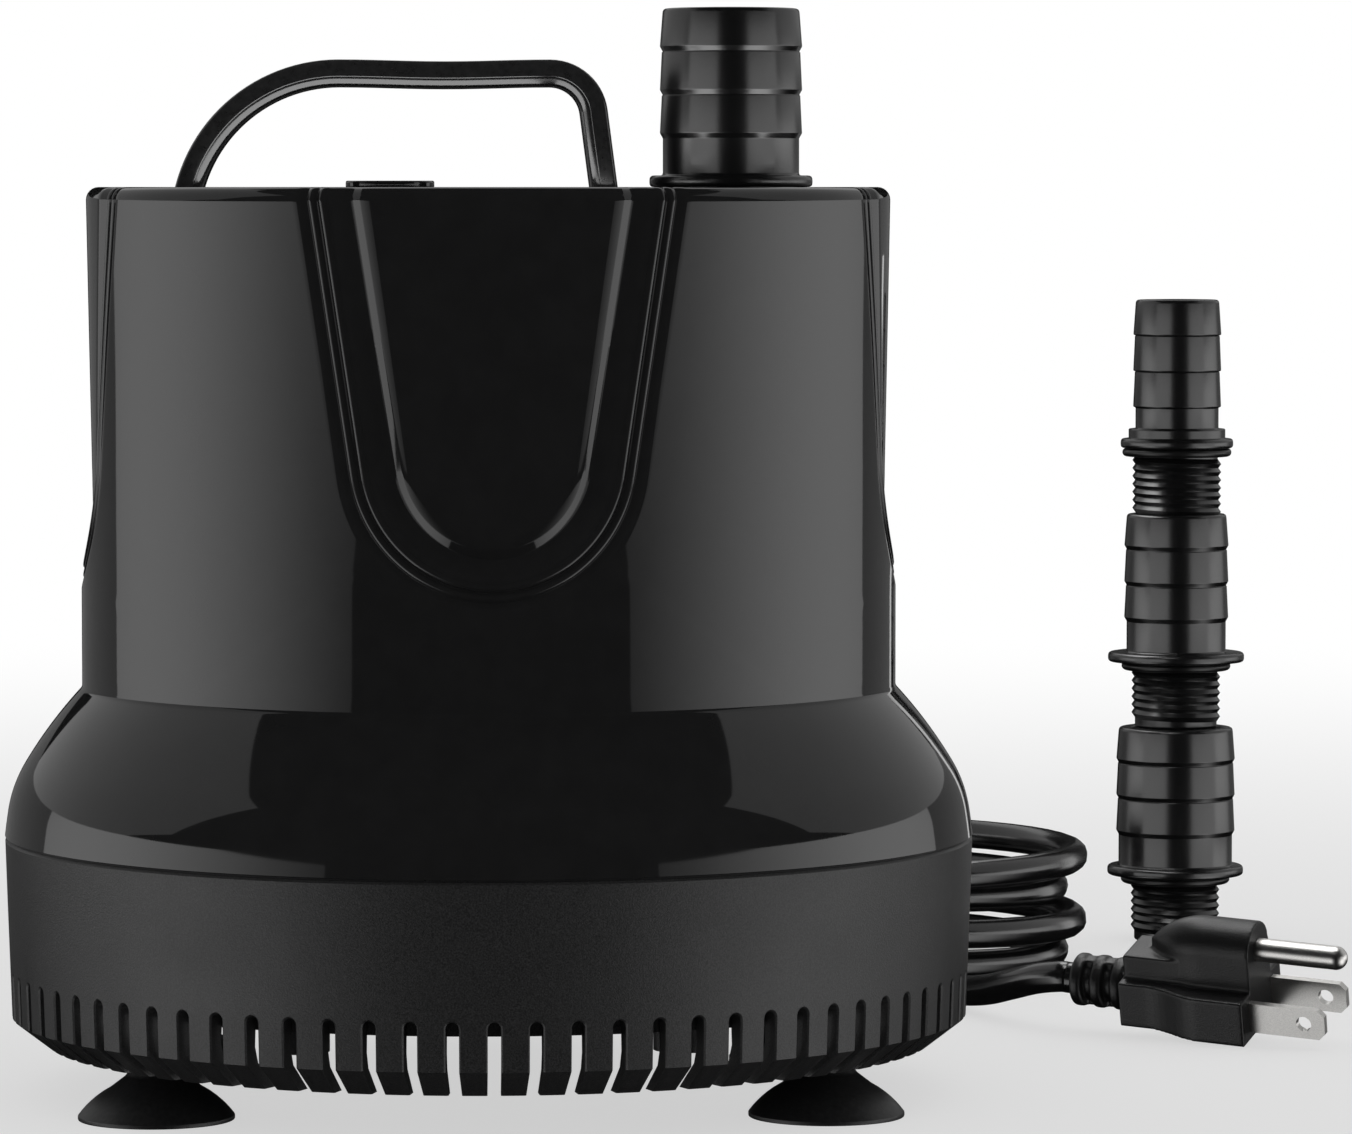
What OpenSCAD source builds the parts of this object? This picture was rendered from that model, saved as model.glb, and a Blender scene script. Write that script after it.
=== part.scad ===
// Bottom-suction fountain pump: glossy housing on a slotted strainer base,
// carried on four suction cups, with hose adapters, mains lead and plug.
// Millimetres, +Z up, origin on the pump axis at the surface it stands on.

/* [Strainer base] */
// Outer diameter of the base at the seam with the housing
base_d = 184; // [176:1:200]
// Height of the base from the tooth tips to the seam
base_h = 39; // [36:1:50]
// Inward draft of the skirt between the seam and the tooth chamfer
base_draft = 1.2; // [0.2:0.1:2]
// Thickness of the skirt wall
skirt_wall = 3; // [2.4:0.1:4]
// Height of the chamfer under the teeth
chamfer_h = 5; // [4:0.5:7]
// Inward run of the chamfer under the teeth
chamfer_w = 6.5; // [4:0.5:8]
// Number of strainer slots around the skirt
slot_count = 76; // [60:4:84]
// Width of one slot
slot_w = 2.4; // [1.8:0.1:3]
// Height of a slot above the tooth tips
slot_h = 14; // [11:0.5:18]
// Height of the spigot that enters the housing
lip_h = 4; // [2.5:0.5:6]
// Thickness of the spigot
lip_t = 2.6; // [2:0.1:3.5]

/* [Suction cups] */
// Diameter of a suction cup
cup_d = 29; // [24:0.5:32]
// Height of the tooth tips above the standing surface
cup_h = 10; // [9:0.5:13]
// Spacing of the cups from left to right
cup_span_x = 124; // [116:1:130]
// Spacing of the cups from front to back
cup_span_y = 80; // [70:1:90]
// Diameter of a cup stem
cup_stem_d = 6; // [5:0.2:7]
// Width of the flat sealing rim under a cup
cup_rim_w = 3; // [2:0.5:4]

/* [Intake plate] */
// Height of the plate's underside above the tooth tips
plate_lift = 11; // [9.5:0.5:13]
// Thickness of the plate
plate_t = 3; // [2.5:0.5:4]
// Diameter of the plate's screw posts
post_d = 12; // [10:0.5:13]
// Spacing of the screw posts, both ways
post_span = 72; // [66:1:76]
// Number of ring slots in the intake grille
grille_rings = 4; // [2:1:4]
// Width of a ring slot in the intake grille
grille_slot = 2.2; // [1.6:0.1:2.6]

/* [Housing] */
// Diameter of the upper body
body_d = 154.6; // [150:0.2:160]
// Height of the housing from the seam to the top face
housing_h = 123; // [118:1:135]
// Height of the upright band above the seam
band_h = 6; // [4:0.5:8]
// Height of the round shoulder above the band
shoulder_h = 24; // [20:1:28]
// Radius of the shoulder's curve
shoulder_r = 38; // [32:1:60]
// Radius of the top edge
top_round = 3; // [1:0.5:5]
// Thickness of the top wall
top_t = 6; // [5.5:0.5:8]

/* [Side panels] */
// Number of U-shaped panels around the upper body
panel_count = 4; // [2:1:4]
// Radius at the foot of a panel's outline
panel_r = 28.2; // [24:0.1:31]
// Height of the foot's centre below the top face
panel_drop = 48.1; // [40:0.1:58]
// Outward lean of a panel's sides
panel_lean = 8.6; // [4:0.1:10]
// Depth of the panel's outer step
panel_step = 0.8; // [0.4:0.1:1.2]
// Width of the panel's outer step
panel_step_w = 3; // [2:0.2:4]
// Depth of the channel at the panel's foot
panel_foot_depth = 2.8; // [2:0.1:3.4]
// Depth of the channel at the top face
panel_top_depth = 1.5; // [1.2:0.1:2]
// Distance of the raised pad from the panel's outline
pad_inset = 10.5; // [8:0.1:14]
// Height of the raised pad above the channel
pad_h = 0.6; // [0.3:0.1:1]

/* [Handle] */
// Height of the handle above the top face
handle_h = 24; // [21:1:34]
// Distance of the left bend's centre from the pump axis
handle_left_x = 28.3; // [24:0.1:32]
// Radius of the left bend
handle_left_r = 31.8; // [29:0.1:33]
// Distance of the right bend's centre from the pump axis
handle_right_x = 11.6; // [9:0.1:13]
// Radius of the right bend
handle_right_r = 10.9; // [8:0.1:11.5]
// Lean of the right leg
handle_lean = 7.4; // [4:0.2:9]
// Thickness of the handle's strap
handle_t = 3.8; // [3:0.1:5]
// Width of the handle's strap
handle_w = 16; // [12:0.5:20]
// Thickness of the rib under the strap
handle_rib_t = 1.3; // [0.8:0.1:2]
// Width of the rib under the strap
handle_rib_w = 10; // [6:0.5:11.5]
// Depth of the handle's feet in the top face
handle_foot = 4.5; // [3:0.5:5]

/* [Outlet] */
// Distance of the outlet from the pump axis
outlet_x = 46; // [44:0.5:48]
// Major diameter of the pipe thread
thread_d = 20.955; // [20:0.005:22]
// Length of thread below the flange
thread_len = 15; // [12:0.5:18]
// Bore of the riser and of the threaded ends
flow_d = 16; // [14:0.5:16.5]
// Thickness of an adapter flange
flange_t = 2.2; // [1.8:0.1:3]
// Length of one barb
barb_pitch = 8.2; // [7:0.1:10]
// Number of barbs
barb_count = 3; // [2:1:4]
// Length of the plain neck between the barbs and the flange
neck_h = 7; // [5:0.5:9]
// Wall of the adapters under the barbs
barb_wall = 3.6; // [3:0.1:4]
// Barb diameter of the large adapter
large_barb_d = 27; // [26:0.1:28]
// Barb diameter of the medium adapter
medium_barb_d = 23.7; // [23:0.1:24.5]
// Barb diameter of the small adapter
small_barb_d = 20; // [19.5:0.1:21]
// Step of one barb, measured on the diameter
barb_step = 1.3; // [0.8:0.1:2]
// Flange diameter of the large and medium adapters
wide_flange_d = 31; // [29:0.2:32]
// Flange diameter of the small adapter
small_flange_d = 25.6; // [25.2:0.1:29]
// Section of the flange seals
seal_d = 1.9; // [1.6:0.1:2.2]

/* [Motor and impeller] */
// Diameter of the rotor shaft
shaft_d = 4; // [3:0.5:5]
// Diameter of the rotor magnet
magnet_d = 26.4; // [24:0.2:28]
// Length of the rotor magnet
magnet_len = 50; // [40:1:52]
// Gap between the magnet and its well
well_gap = 1.8; // [1:0.1:2]
// Wall of the rotor well
well_wall = 2; // [1.5:0.1:2.4]
// Diameter of the impeller
impeller_d = 60; // [54:1:64]
// Number of impeller vanes
vane_count = 6; // [4:1:8]
// Height of the impeller vanes
vane_h = 11; // [8:0.5:12]
// Thickness of a vane
vane_t = 2; // [1.5:0.1:2.5]
// Height of the stator's sheet stack
stack_h = 44; // [36:1:46]
// Width of a stator arm
arm_w = 15; // [12:0.5:16]
// Build-up of the windings around an arm
winding_t = 7; // [5:0.5:7.4]
// Length of a winding along its arm
winding_len = 24; // [18:1:26]

/* [Lead and plug] */
// Diameter of the mains lead
cord_d = 6.4; // [5.6:0.1:6.6]
// Height of the gland above the standing surface
gland_z = 88; // [86:0.5:89]
// Length of the gland's sleeve outside the housing
gland_len = 28; // [20:1:30]
// Turns of the lead's coil
coil_turns = 3.96; // [3.94:0.01:3.98]
// Radius of the coil's outer turn
coil_r = 60; // [60:1:60]
// Length of the plug's moulded body
plug_len = 27; // [24:1:32]
// Width of the plug's moulded body
plug_w = 22; // [20:0.5:25]
// Length of the plug's flat blades
blade_len = 16; // [15:0.5:18]
// Diameter of the plug's ground pin
ground_d = 4.8; // [4.6:0.1:5]

/* [Hidden] */
$fn = 96;
fit = 0.3;              // clearance between seated pieces
run_fit = 0.05;         // radial running clearance of the rotor
thread_fit = 0.1;       // radial clearance of the outlet thread
eps = 0.01;             // overshoot of a cut past a face
panel_blend = 0.1;      // how far a panel's sides start inside its foot's arc, so that they cross it

base_r = base_d / 2;
body_r = body_d / 2;
tip_z = cup_h;
seam_z = tip_z + base_h;
band_z = seam_z + band_h;
shoulder_z = band_z + shoulder_h;
top_z = seam_z + housing_h;
ceiling_z = top_z - top_t;
skirt_r = base_r - base_draft;         // skirt radius at the chamfer
tip_r = skirt_r - chamfer_w;           // outer radius of the tooth tips
lip_r = base_r - skirt_wall - fit;     // outer radius of the spigot

plate_z = tip_z + plate_lift;
plate_top_z = plate_z + plate_t;
post_foot_z = tip_z + 2;
post_x = post_span / 2;
cup_boss_z = cup_h + 1;

// Heights of the pumping chamber and of the motor above it
casing_floor_t = 3;
motor_plate_t = 4;
chamber_z = plate_top_z + casing_floor_t;
motor_z = seam_z + 1;                  // underside of the motor plate
motor_top_z = motor_z + motor_plate_t;
chamber_r = impeller_d / 2 + 4;
casing_wall = 4;
casing_r = chamber_r + casing_wall;
inlet_r = 13;
ear_r = 6.5;
flange_z = motor_z - 4;                // underside of the casing's flange
casing_flange_r = outlet_x + 14;
well_r = magnet_d / 2 + well_gap;
well_out_r = well_r + well_wall;
magnet_z = motor_top_z + 4;
magnet_top_z = magnet_z + magnet_len;
well_top_z = magnet_top_z + 4;
bush_h = 6;
bush_r = 6;
lower_bush_r = 4;
spider_hub_r = 6.5;
shaft_r = shaft_d / 2;
hub_r = 7;
vane_top_z = motor_z - 4;
vane_z = vane_top_z - vane_h;
shroud_t = 2;

// Stator: two arms on either side of the rotor well, joined by a yoke
stack_z = magnet_z + (magnet_len - stack_h) / 2;
arm_y = well_r + fit + 1;              // inner face of an arm, before the pole is bored
arm_in = arm_y - 6;
arm_out = arm_in + arm_w;
arm_tip_x = well_out_r;
winding_x = -(well_out_r + 2);
yoke_x = winding_x - winding_len - 3;
yoke_w = 11;
motor_gap = 3.64;                      // resin between the stator and its cavity
cavity_r = norm([yoke_x - yoke_w, arm_out]) + motor_gap;
motor_plate_r = cavity_r + 5;

riser_r = flow_d / 2;
riser_out_r = riser_r + 2.5;
socket_z = top_z - thread_len - 2;     // floor of the threaded socket
socket_boss_r = thread_d / 2 + 4.5;
thread_r = thread_d / 2;
seal_r = seal_d / 2;
seal_ring_r = thread_r + 0.03 + seal_r;
barbs_h = barb_pitch * barb_count;
adapter_h = thread_len + flange_t + neck_h + barbs_h;
step_ring_h = 2.2;                     // raised ring above the small adapter's flange

plug_d1 = 12.7;                        // spacing of the plug's blades
ground_rise = 11.9;                    // ground pin above the blades
blade_w = 6.35;
blade_t = 1.5;
blade_z = 4.7;                         // blades above the plug's underside
plug_low_h = 9.5;                      // height of the plug's lower block
ground_len = blade_len + 3;
relief_len = 13;
relief_up = 5.6;                       // strain relief above the plug's underside
face_x = relief_len + plug_len;

// Places of the loose pieces and of the lead around the pump
spare_pos = [159, 248, 0];
plug_pos = [120.5, 81];
plug_yaw = -28;
plug_roll = 19;                        // the lead's twist holds the plug on one edge
plug_pitch = 3;                        // and its relief end a little up
// Height of the strain relief where the plug's front corner meets the standing surface
relief_z = face_x * sin(plug_pitch)
    + (plug_w / 2 * sin(plug_roll) + relief_up * cos(plug_roll)) * cos(plug_pitch);
coil_centre = [73, 205];
coil_layers = 4;
layer_pitch = cord_d + 0.7;
coil_inset = 8;                        // how far the coil spirals in on each layer
coil_start = -100;                     // angle where the plug end leaves the coil
coil_floor = cord_d / 2;
gland_collar = [8, 3];                 // radius and thickness of the gland's collar
gland_end_y = body_r + gland_len;

// Small helpers

module ring(r_out, r_in, h) {
    difference() {
        cylinder(r = r_out, h = h);
        translate([0, 0, -1]) cylinder(r = r_in, h = h + 2);
    }
}

// Repeats its child at the four corners of a rectangle
module corners(span_x, span_y) {
    for (sx = [-1, 1], sy = [-1, 1])
        translate([sx * span_x / 2, sy * span_y / 2, 0]) children();
}

// Strainer base

// Inner radius of the skirt between its teeth and its spigot
wall_foot_z = tip_z + chamfer_h + 1;
function skirt_in_r(z) =
    let (t = (z - wall_foot_z) / (seam_z - lip_h - wall_foot_z))
    (1 - t) * (skirt_r - skirt_wall) + t * (lip_r - lip_t);

// Half section of the skirt with its tapered teeth and its spigot
module skirt_section() {
    tooth_wall = skirt_wall * 1.25;
    polygon([[base_r, seam_z], [skirt_r, tip_z + chamfer_h], [tip_r, tip_z],
             [tip_r - tooth_wall, tip_z], [skirt_r - skirt_wall, wall_foot_z],
             [lip_r - lip_t, seam_z - lip_h], [lip_r - lip_t, seam_z + lip_h],
             [lip_r, seam_z + lip_h], [lip_r, seam_z]]);
}

// One slot: open at the tooth tips, round at its upper end
module slot_cut() {
    straight = slot_h - slot_w / 2;
    translate([tip_r - 3 * skirt_wall, 0, tip_z])
        rotate([90, 0, 90])
            linear_extrude(base_r) {
                translate([-slot_w / 2, -1]) square([slot_w, straight + 1]);
                translate([0, straight]) circle(d = slot_w, $fn = 32);
            }
}

module strainer_base() {
    color([0.13, 0.13, 0.135])
        difference() {
            rotate_extrude() skirt_section();
            for (i = [0 : slot_count - 1]) rotate(-90 + i * 360 / slot_count) slot_cut();
        }
}

// Intake plate: closes the base, holds the cups and the screws

module intake_plate() {
    plate_r = skirt_in_r(plate_top_z) - fit;
    grille_pitch = (inlet_r - 2) / grille_rings;
    color([0.1, 0.1, 0.105])
        difference() {
            union() {
                translate([0, 0, plate_z]) cylinder(r = plate_r, h = plate_t);
                corners(post_span, post_span)
                    translate([0, 0, post_foot_z]) cylinder(d = post_d, h = plate_z - post_foot_z + 1);
                corners(cup_span_x, cup_span_y)
                    translate([0, 0, cup_boss_z]) cylinder(d = cup_stem_d + 6, h = plate_z - cup_boss_z + 1);
            }
            // ring slots of the intake grille, crossed by three spokes
            difference() {
                for (i = [1 : grille_rings])
                    translate([0, 0, plate_z - 1])
                        ring(i * grille_pitch + grille_slot / 2, i * grille_pitch - grille_slot / 2, plate_t + 2);
                for (a = [0, 60, 120])
                    rotate(a) translate([-inlet_r - 3, -1.2, plate_z - 2]) cube([2 * inlet_r + 6, 2.4, plate_t + 4]);
            }
            corners(post_span, post_span) screw_hole(post_foot_z);
            corners(cup_span_x, cup_span_y)
                translate([0, 0, cup_boss_z - 1]) cylinder(d = cup_stem_d + 2 * run_fit, h = plate_top_z);
        }
}

// Suction cups

module suction_cup() {
    dome_r = cup_d * 0.558;
    dome_z = 1.5 - sqrt(dome_r * dome_r - cup_d * cup_d / 4);
    hollow_r = cup_d * 0.498;
    hollow_rim = cup_d / 2 - cup_rim_w;
    hollow_z = -sqrt(hollow_r * hollow_r - hollow_rim * hollow_rim);
    neck_r = cup_stem_d / 2 + 1.5;
    color([0.07, 0.07, 0.07])
        rotate_extrude() {
            difference() {
                intersection() {
                    union() {
                        translate([0, dome_z]) circle(r = dome_r);
                        square([cup_d / 2, 1.5]);
                    }
                    square([cup_d / 2, cup_h]);
                }
                translate([0, hollow_z]) circle(r = hollow_r);
            }
            translate([0, cup_h - 3]) square([neck_r, 3 + cup_boss_z - cup_h - fit]);
            translate([0, cup_h - 3]) square([cup_stem_d / 2, plate_z - cup_h + 3]);
        }
}

module suction_cup_front_left() { translate([-cup_span_x / 2, -cup_span_y / 2, 0]) suction_cup(); }
module suction_cup_front_right() { translate([cup_span_x / 2, -cup_span_y / 2, 0]) suction_cup(); }
module suction_cup_rear_left() { translate([-cup_span_x / 2, cup_span_y / 2, 0]) suction_cup(); }
module suction_cup_rear_right() { translate([cup_span_x / 2, cup_span_y / 2, 0]) suction_cup(); }

// Screws that hold the intake plate and the casing to the motor plate

screw_r = 2;
screw_head_r = 3.8;
screw_head_h = 2.5;
screw_top_z = motor_z + motor_plate_t - 1.2;

module screw_hole(foot_z) {
    translate([0, 0, foot_z - 1]) cylinder(r = screw_r + run_fit, h = screw_top_z + fit - foot_z + 1);
    translate([0, 0, foot_z - 1]) cylinder(r = screw_head_r + run_fit, h = screw_head_h + 1.5);
}

module cover_screws() {
    head_z = post_foot_z + 0.5 - fit / 2;
    color([0.62, 0.62, 0.64])
        corners(post_span, post_span) {
            difference() {
                translate([0, 0, head_z]) cylinder(r = screw_head_r, h = screw_head_h);
                for (a = [0, 90])
                    rotate(a) translate([-2.2, -0.5, head_z - 1]) cube([4.4, 1, 2.2]);
            }
            translate([0, 0, head_z + 1]) cylinder(r = screw_r, h = screw_top_z - head_z - 1);
        }
}

// Pumping chamber

module volute_casing() {
    passage_h = motor_z - chamber_z;
    color([0.09, 0.09, 0.095])
        difference() {
            union() {
                translate([0, 0, plate_top_z]) cylinder(r = casing_r, h = motor_z - plate_top_z);
                translate([outlet_x, 0, plate_top_z]) cylinder(r = riser_out_r + 2, h = motor_z - plate_top_z);
                translate([0, 0, flange_z]) cylinder(r = casing_flange_r, h = motor_z - flange_z);
                corners(post_span, post_span)
                    translate([0, 0, plate_top_z]) cylinder(r = ear_r, h = motor_z - plate_top_z);
            }
            translate([0, 0, chamber_z]) cylinder(r = chamber_r, h = passage_h + 1);
            translate([outlet_x, 0, chamber_z]) cylinder(r = riser_r, h = passage_h + 1);
            // throat from the chamber into the riser
            translate([0, -riser_r, chamber_z + 2]) cube([outlet_x, 2 * riser_r, passage_h - 6]);
            difference() {
                translate([0, 0, plate_top_z - 1]) cylinder(r = inlet_r, h = casing_floor_t + 2);
                translate([0, 0, plate_top_z - 2]) cylinder(r = spider_hub_r, h = casing_floor_t + 4);
                for (a = [30, 150, 270])
                    rotate(a) translate([0, -1.2, plate_top_z - 2]) cube([inlet_r + 1, 2.4, casing_floor_t + 4]);
            }
            translate([0, 0, plate_top_z - 1]) cylinder(r = lower_bush_r + run_fit, h = casing_floor_t + 2);
            translate([0, 0, motor_z - 1.6])
                ring(casing_r - 0.8, casing_r - 3.2, 2);
            corners(post_span, post_span) screw_hole(plate_top_z - 6);
        }
}

module casing_seal() {
    color([0.05, 0.05, 0.05])
        translate([0, 0, motor_z - 0.8])
            rotate_extrude() translate([casing_r - 2, 0]) circle(r = 0.75, $fn = 24);
}

// Motor plate with the rotor well

module motor_plate() {
    color([0.12, 0.12, 0.125])
        difference() {
            union() {
                translate([0, 0, motor_z]) cylinder(r = motor_plate_r - fit, h = motor_plate_t);
                translate([0, 0, motor_z]) cylinder(r = well_out_r, h = well_top_z + bush_h + 2 - motor_z);
            }
            translate([0, 0, motor_z - 1]) cylinder(r = well_r, h = well_top_z - motor_z + 1);
            translate([0, 0, motor_z]) cylinder(r = bush_r + run_fit, h = well_top_z + bush_h - motor_z);
            translate([outlet_x, 0, motor_z - 1]) cylinder(r = riser_r, h = motor_plate_t + 2);
            corners(post_span, post_span) screw_hole(motor_z - 20);
        }
}

module riser_pipe() {
    color([0.12, 0.12, 0.125])
        translate([outlet_x, 0, motor_top_z]) ring(riser_out_r, riser_r, socket_z - 2 - motor_top_z);
}

// Rotor

module rotor_shaft() {
    color([0.9, 0.9, 0.88])
        translate([0, 0, plate_top_z + 0.5])
            cylinder(r = shaft_r, h = well_top_z + bush_h - 1 - plate_top_z);
}

module upper_bush() {
    color([0.06, 0.06, 0.06])
        translate([0, 0, well_top_z + fit]) ring(bush_r, shaft_r + run_fit, bush_h - 2 * fit);
}

module lower_bush() {
    color([0.06, 0.06, 0.06])
        translate([0, 0, plate_top_z + fit]) ring(lower_bush_r, shaft_r + run_fit, casing_floor_t + 1.5);
}

module rotor_magnet() {
    color([0.25, 0.25, 0.27])
        translate([0, 0, magnet_z]) ring(magnet_d / 2, shaft_r + run_fit, magnet_len);
}

module impeller() {
    hub_z = chamber_z + 2.2;
    vane_curve_r = impeller_d * 0.36;
    color([0.85, 0.85, 0.82])
        difference() {
            union() {
                translate([0, 0, hub_z]) cylinder(r = hub_r, h = magnet_z - hub_z);
                translate([0, 0, vane_top_z]) cylinder(d = impeller_d, h = shroud_t);
                translate([0, 0, vane_z])
                    linear_extrude(vane_h + eps)
                        intersection() {
                            circle(d = impeller_d);
                            for (i = [0 : vane_count - 1])
                                rotate(i * 360 / vane_count)
                                    intersection() {
                                        translate([0, -vane_curve_r]) difference() {
                                            circle(r = vane_curve_r + vane_t / 2);
                                            circle(r = vane_curve_r - vane_t / 2);
                                        }
                                        translate([0, -impeller_d]) square(impeller_d * 2);
                                        translate([0, -vane_curve_r]) square([impeller_d, 2 * impeller_d]);
                                    }
                        }
            }
            translate([0, 0, hub_z - 1]) cylinder(r = shaft_r + run_fit, h = magnet_z - hub_z + 2);
        }
}

// Stator

module stator_core() {
    color([0.4, 0.41, 0.43])
        translate([0, 0, stack_z])
            linear_extrude(stack_h)
                difference() {
                    polygon([[arm_tip_x, arm_in], [arm_tip_x, arm_out], [yoke_x - yoke_w, arm_out],
                             [yoke_x - yoke_w, -arm_out], [arm_tip_x, -arm_out], [arm_tip_x, -arm_in],
                             [yoke_x, -arm_in], [yoke_x, arm_in]]);
                    circle(r = well_out_r + fit);
                }
}

module stator_winding() {
    color([0.72, 0.4, 0.18])
        translate([winding_x - winding_len, arm_in - winding_t, stack_z - winding_t])
            difference() {
                cube([winding_len, arm_w + 2 * winding_t, stack_h + 2 * winding_t]);
                translate([-1, winding_t - run_fit, winding_t - run_fit])
                    cube([winding_len + 2, arm_w + 2 * run_fit, stack_h + 2 * run_fit]);
            }
}

module stator_winding_front() { mirror([0, 1, 0]) stator_winding(); }
module stator_winding_rear() { stator_winding(); }

module thermal_cutout() {
    color([0.8, 0.78, 0.7])
        translate([winding_x - winding_len / 2 - 7, arm_in + 2, stack_z + stack_h + winding_t])
            cube([14, 8, 4]);
}

// Housing

// Filled half section of the housing's outside
module housing_section() {
    chord = norm([base_r - body_r, shoulder_h]);
    mid = [(base_r + body_r) / 2, (band_z + shoulder_z) / 2];
    inward = [-shoulder_h, -(base_r - body_r)] / chord;
    centre = mid + inward * sqrt(shoulder_r * shoulder_r - chord * chord / 4);
    translate([0, seam_z]) square([base_r, band_h]);
    translate([0, band_z - eps]) square([body_r, top_z - top_round - band_z + eps]);
    translate([0, top_z - top_round - eps]) square([body_r - top_round, top_round + eps]);
    translate([body_r - top_round, top_z - top_round]) circle(r = top_round);
    intersection() {
        translate(centre) circle(r = shoulder_r);
        translate([0, band_z]) square([base_r, shoulder_h]);
    }
}

// Outline of a panel seen face on: a round foot with leaning sides.
// Its height is measured from the top face.
module panel_outline(inset) {
    r = panel_r - inset;
    side_r = r - panel_blend;
    foot = [side_r * cos(panel_lean), -panel_drop - side_r * sin(panel_lean)];
    head = [foot[0] + (2 - foot[1]) * tan(panel_lean), 2];
    translate([0, -panel_drop]) circle(r = r);
    polygon([foot, head, [-head[0], head[1]], [-foot[0], foot[1]]]);
}

// Space outside a cone whose depth under the body runs from foot to top
module panel_space(inset, foot_depth, top_depth) {
    foot_z = top_z - panel_drop - panel_r - 2;
    intersection() {
        translate([0, 0, top_z])
            rotate([90, 0, 0]) linear_extrude(body_d) panel_outline(inset);
        difference() {
            translate([0, 0, foot_z]) cylinder(r = body_r + 5, h = top_z - foot_z + 1);
            translate([0, 0, foot_z - eps])
                cylinder(r1 = body_r - foot_depth, r2 = body_r - top_depth, h = top_z - foot_z + 2);
        }
    }
}

module panel_cut() {
    panel_space(0, panel_step, panel_step);
    difference() {
        panel_space(panel_step_w, panel_foot_depth, panel_top_depth);
        difference() {
            panel_space(pad_inset, panel_foot_depth + 1, panel_top_depth + 1);
            panel_space(pad_inset - 1, panel_foot_depth - pad_h, panel_top_depth - pad_h);
        }
    }
}

module housing_shell() {
    groove_fit = fit / 2;
    color([0.045, 0.045, 0.05])
        difference() {
            union() {
                difference() {
                    rotate_extrude()
                        intersection() {
                            housing_section();
                            square([base_r + 1, top_z + 1]);
                        }
                    translate([0, 0, motor_top_z]) cylinder(r = cavity_r, h = ceiling_z - motor_top_z);
                    translate([0, 0, seam_z - 1]) cylinder(r = motor_plate_r, h = motor_top_z - seam_z + 1);
                }
                translate([outlet_x, 0, socket_z - 2]) cylinder(r = socket_boss_r, h = ceiling_z - socket_z + 3);
            }
            for (i = [0 : panel_count - 1]) rotate(i * 360 / panel_count) panel_cut();
            // groove for the base's spigot
            translate([0, 0, seam_z - 1])
                ring(lip_r + groove_fit, lip_r - lip_t - groove_fit, lip_h + 1 + groove_fit);
            // threaded socket with its seal seat, and the riser below it
            translate([outlet_x, 0, socket_z]) cylinder(r = thread_r + thread_fit, h = top_z - socket_z + 1);
            translate([outlet_x, 0, top_z - seal_d - 0.15]) cylinder(r = seal_ring_r + seal_r + thread_fit, h = seal_d + 1);
            translate([outlet_x, 0, socket_z - 3]) cylinder(r = riser_r, h = 4);
            handle_pockets();
            fill_plug_hole();
            translate([0, cavity_r - 4, gland_z]) rotate([-90, 0, 0]) cylinder(r = gland_neck_r + run_fit, h = base_r);
        }
}

// Plug that closes the resin filling hole in the top face

fill_plug_pos = [-18.7, 0];
fill_plug_r = 8.4;
fill_plug_h = 1.2;
fill_stem_r = 5.5;

module fill_plug_hole() {
    translate([fill_plug_pos[0], fill_plug_pos[1], ceiling_z - 1]) cylinder(r = fill_stem_r + run_fit, h = top_t + 2);
}

module fill_plug() {
    color([0.06, 0.06, 0.065])
        translate([fill_plug_pos[0], fill_plug_pos[1], 0]) {
            translate([0, 0, top_z]) cylinder(r = fill_plug_r, h = fill_plug_h);
            translate([0, 0, ceiling_z + 1]) cylinder(r = fill_stem_r, h = top_t - 1 + eps);
        }
}

// Carrying handle

// Area under the handle's curve, taken in by inset, down to depth below the top face
module handle_area(inset, depth) {
    crown_z = top_z + handle_h;
    left_r = handle_left_r - inset;
    right_r = handle_right_r - inset;
    left = [-handle_left_x, crown_z - handle_left_r];
    right = [handle_right_x, crown_z - handle_right_r];
    low = top_z - depth;
    // the leg cuts the bend at a small angle, so that the two meet at clear points
    meet = 3;
    shoulder = right + right_r * cos(meet) * [cos(handle_lean), sin(handle_lean)];
    leg_x = shoulder[0] + (shoulder[1] - low) * tan(handle_lean);
    intersection() {
        union() {
            translate(left) circle(r = left_r);
            translate(right) circle(r = right_r);
            polygon([[left[0], low], [left[0], crown_z - inset], [right[0], crown_z - inset],
                     right, shoulder, [leg_x, low]]);
        }
        translate([-body_r, low]) square([body_d, handle_h + depth + 1]);
    }
}

module handle_strap(grow, width, depth) {
    rotate([90, 0, 0])
        translate([0, 0, -width / 2])
            linear_extrude(width)
                difference() {
                    handle_area(-grow, depth);
                    handle_area(handle_t + grow, depth + 1);
                }
}

module handle_pockets() {
    intersection() {
        handle_strap(fit, handle_w + 2 * fit, handle_foot + fit);
        translate([-body_r, -body_r, ceiling_z]) cube([body_d, body_d, top_t + 1]);
    }
}

module carry_handle() {
    color([0.05, 0.05, 0.055]) {
        handle_strap(0, handle_w, handle_foot);
        rotate([90, 0, 0])
            translate([0, 0, -handle_rib_w / 2])
                linear_extrude(handle_rib_w)
                    difference() {
                        handle_area(handle_t / 2, -fit);
                        handle_area(handle_t + handle_rib_t, 0);
                    }
    }
}

// Hose adapters

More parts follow.
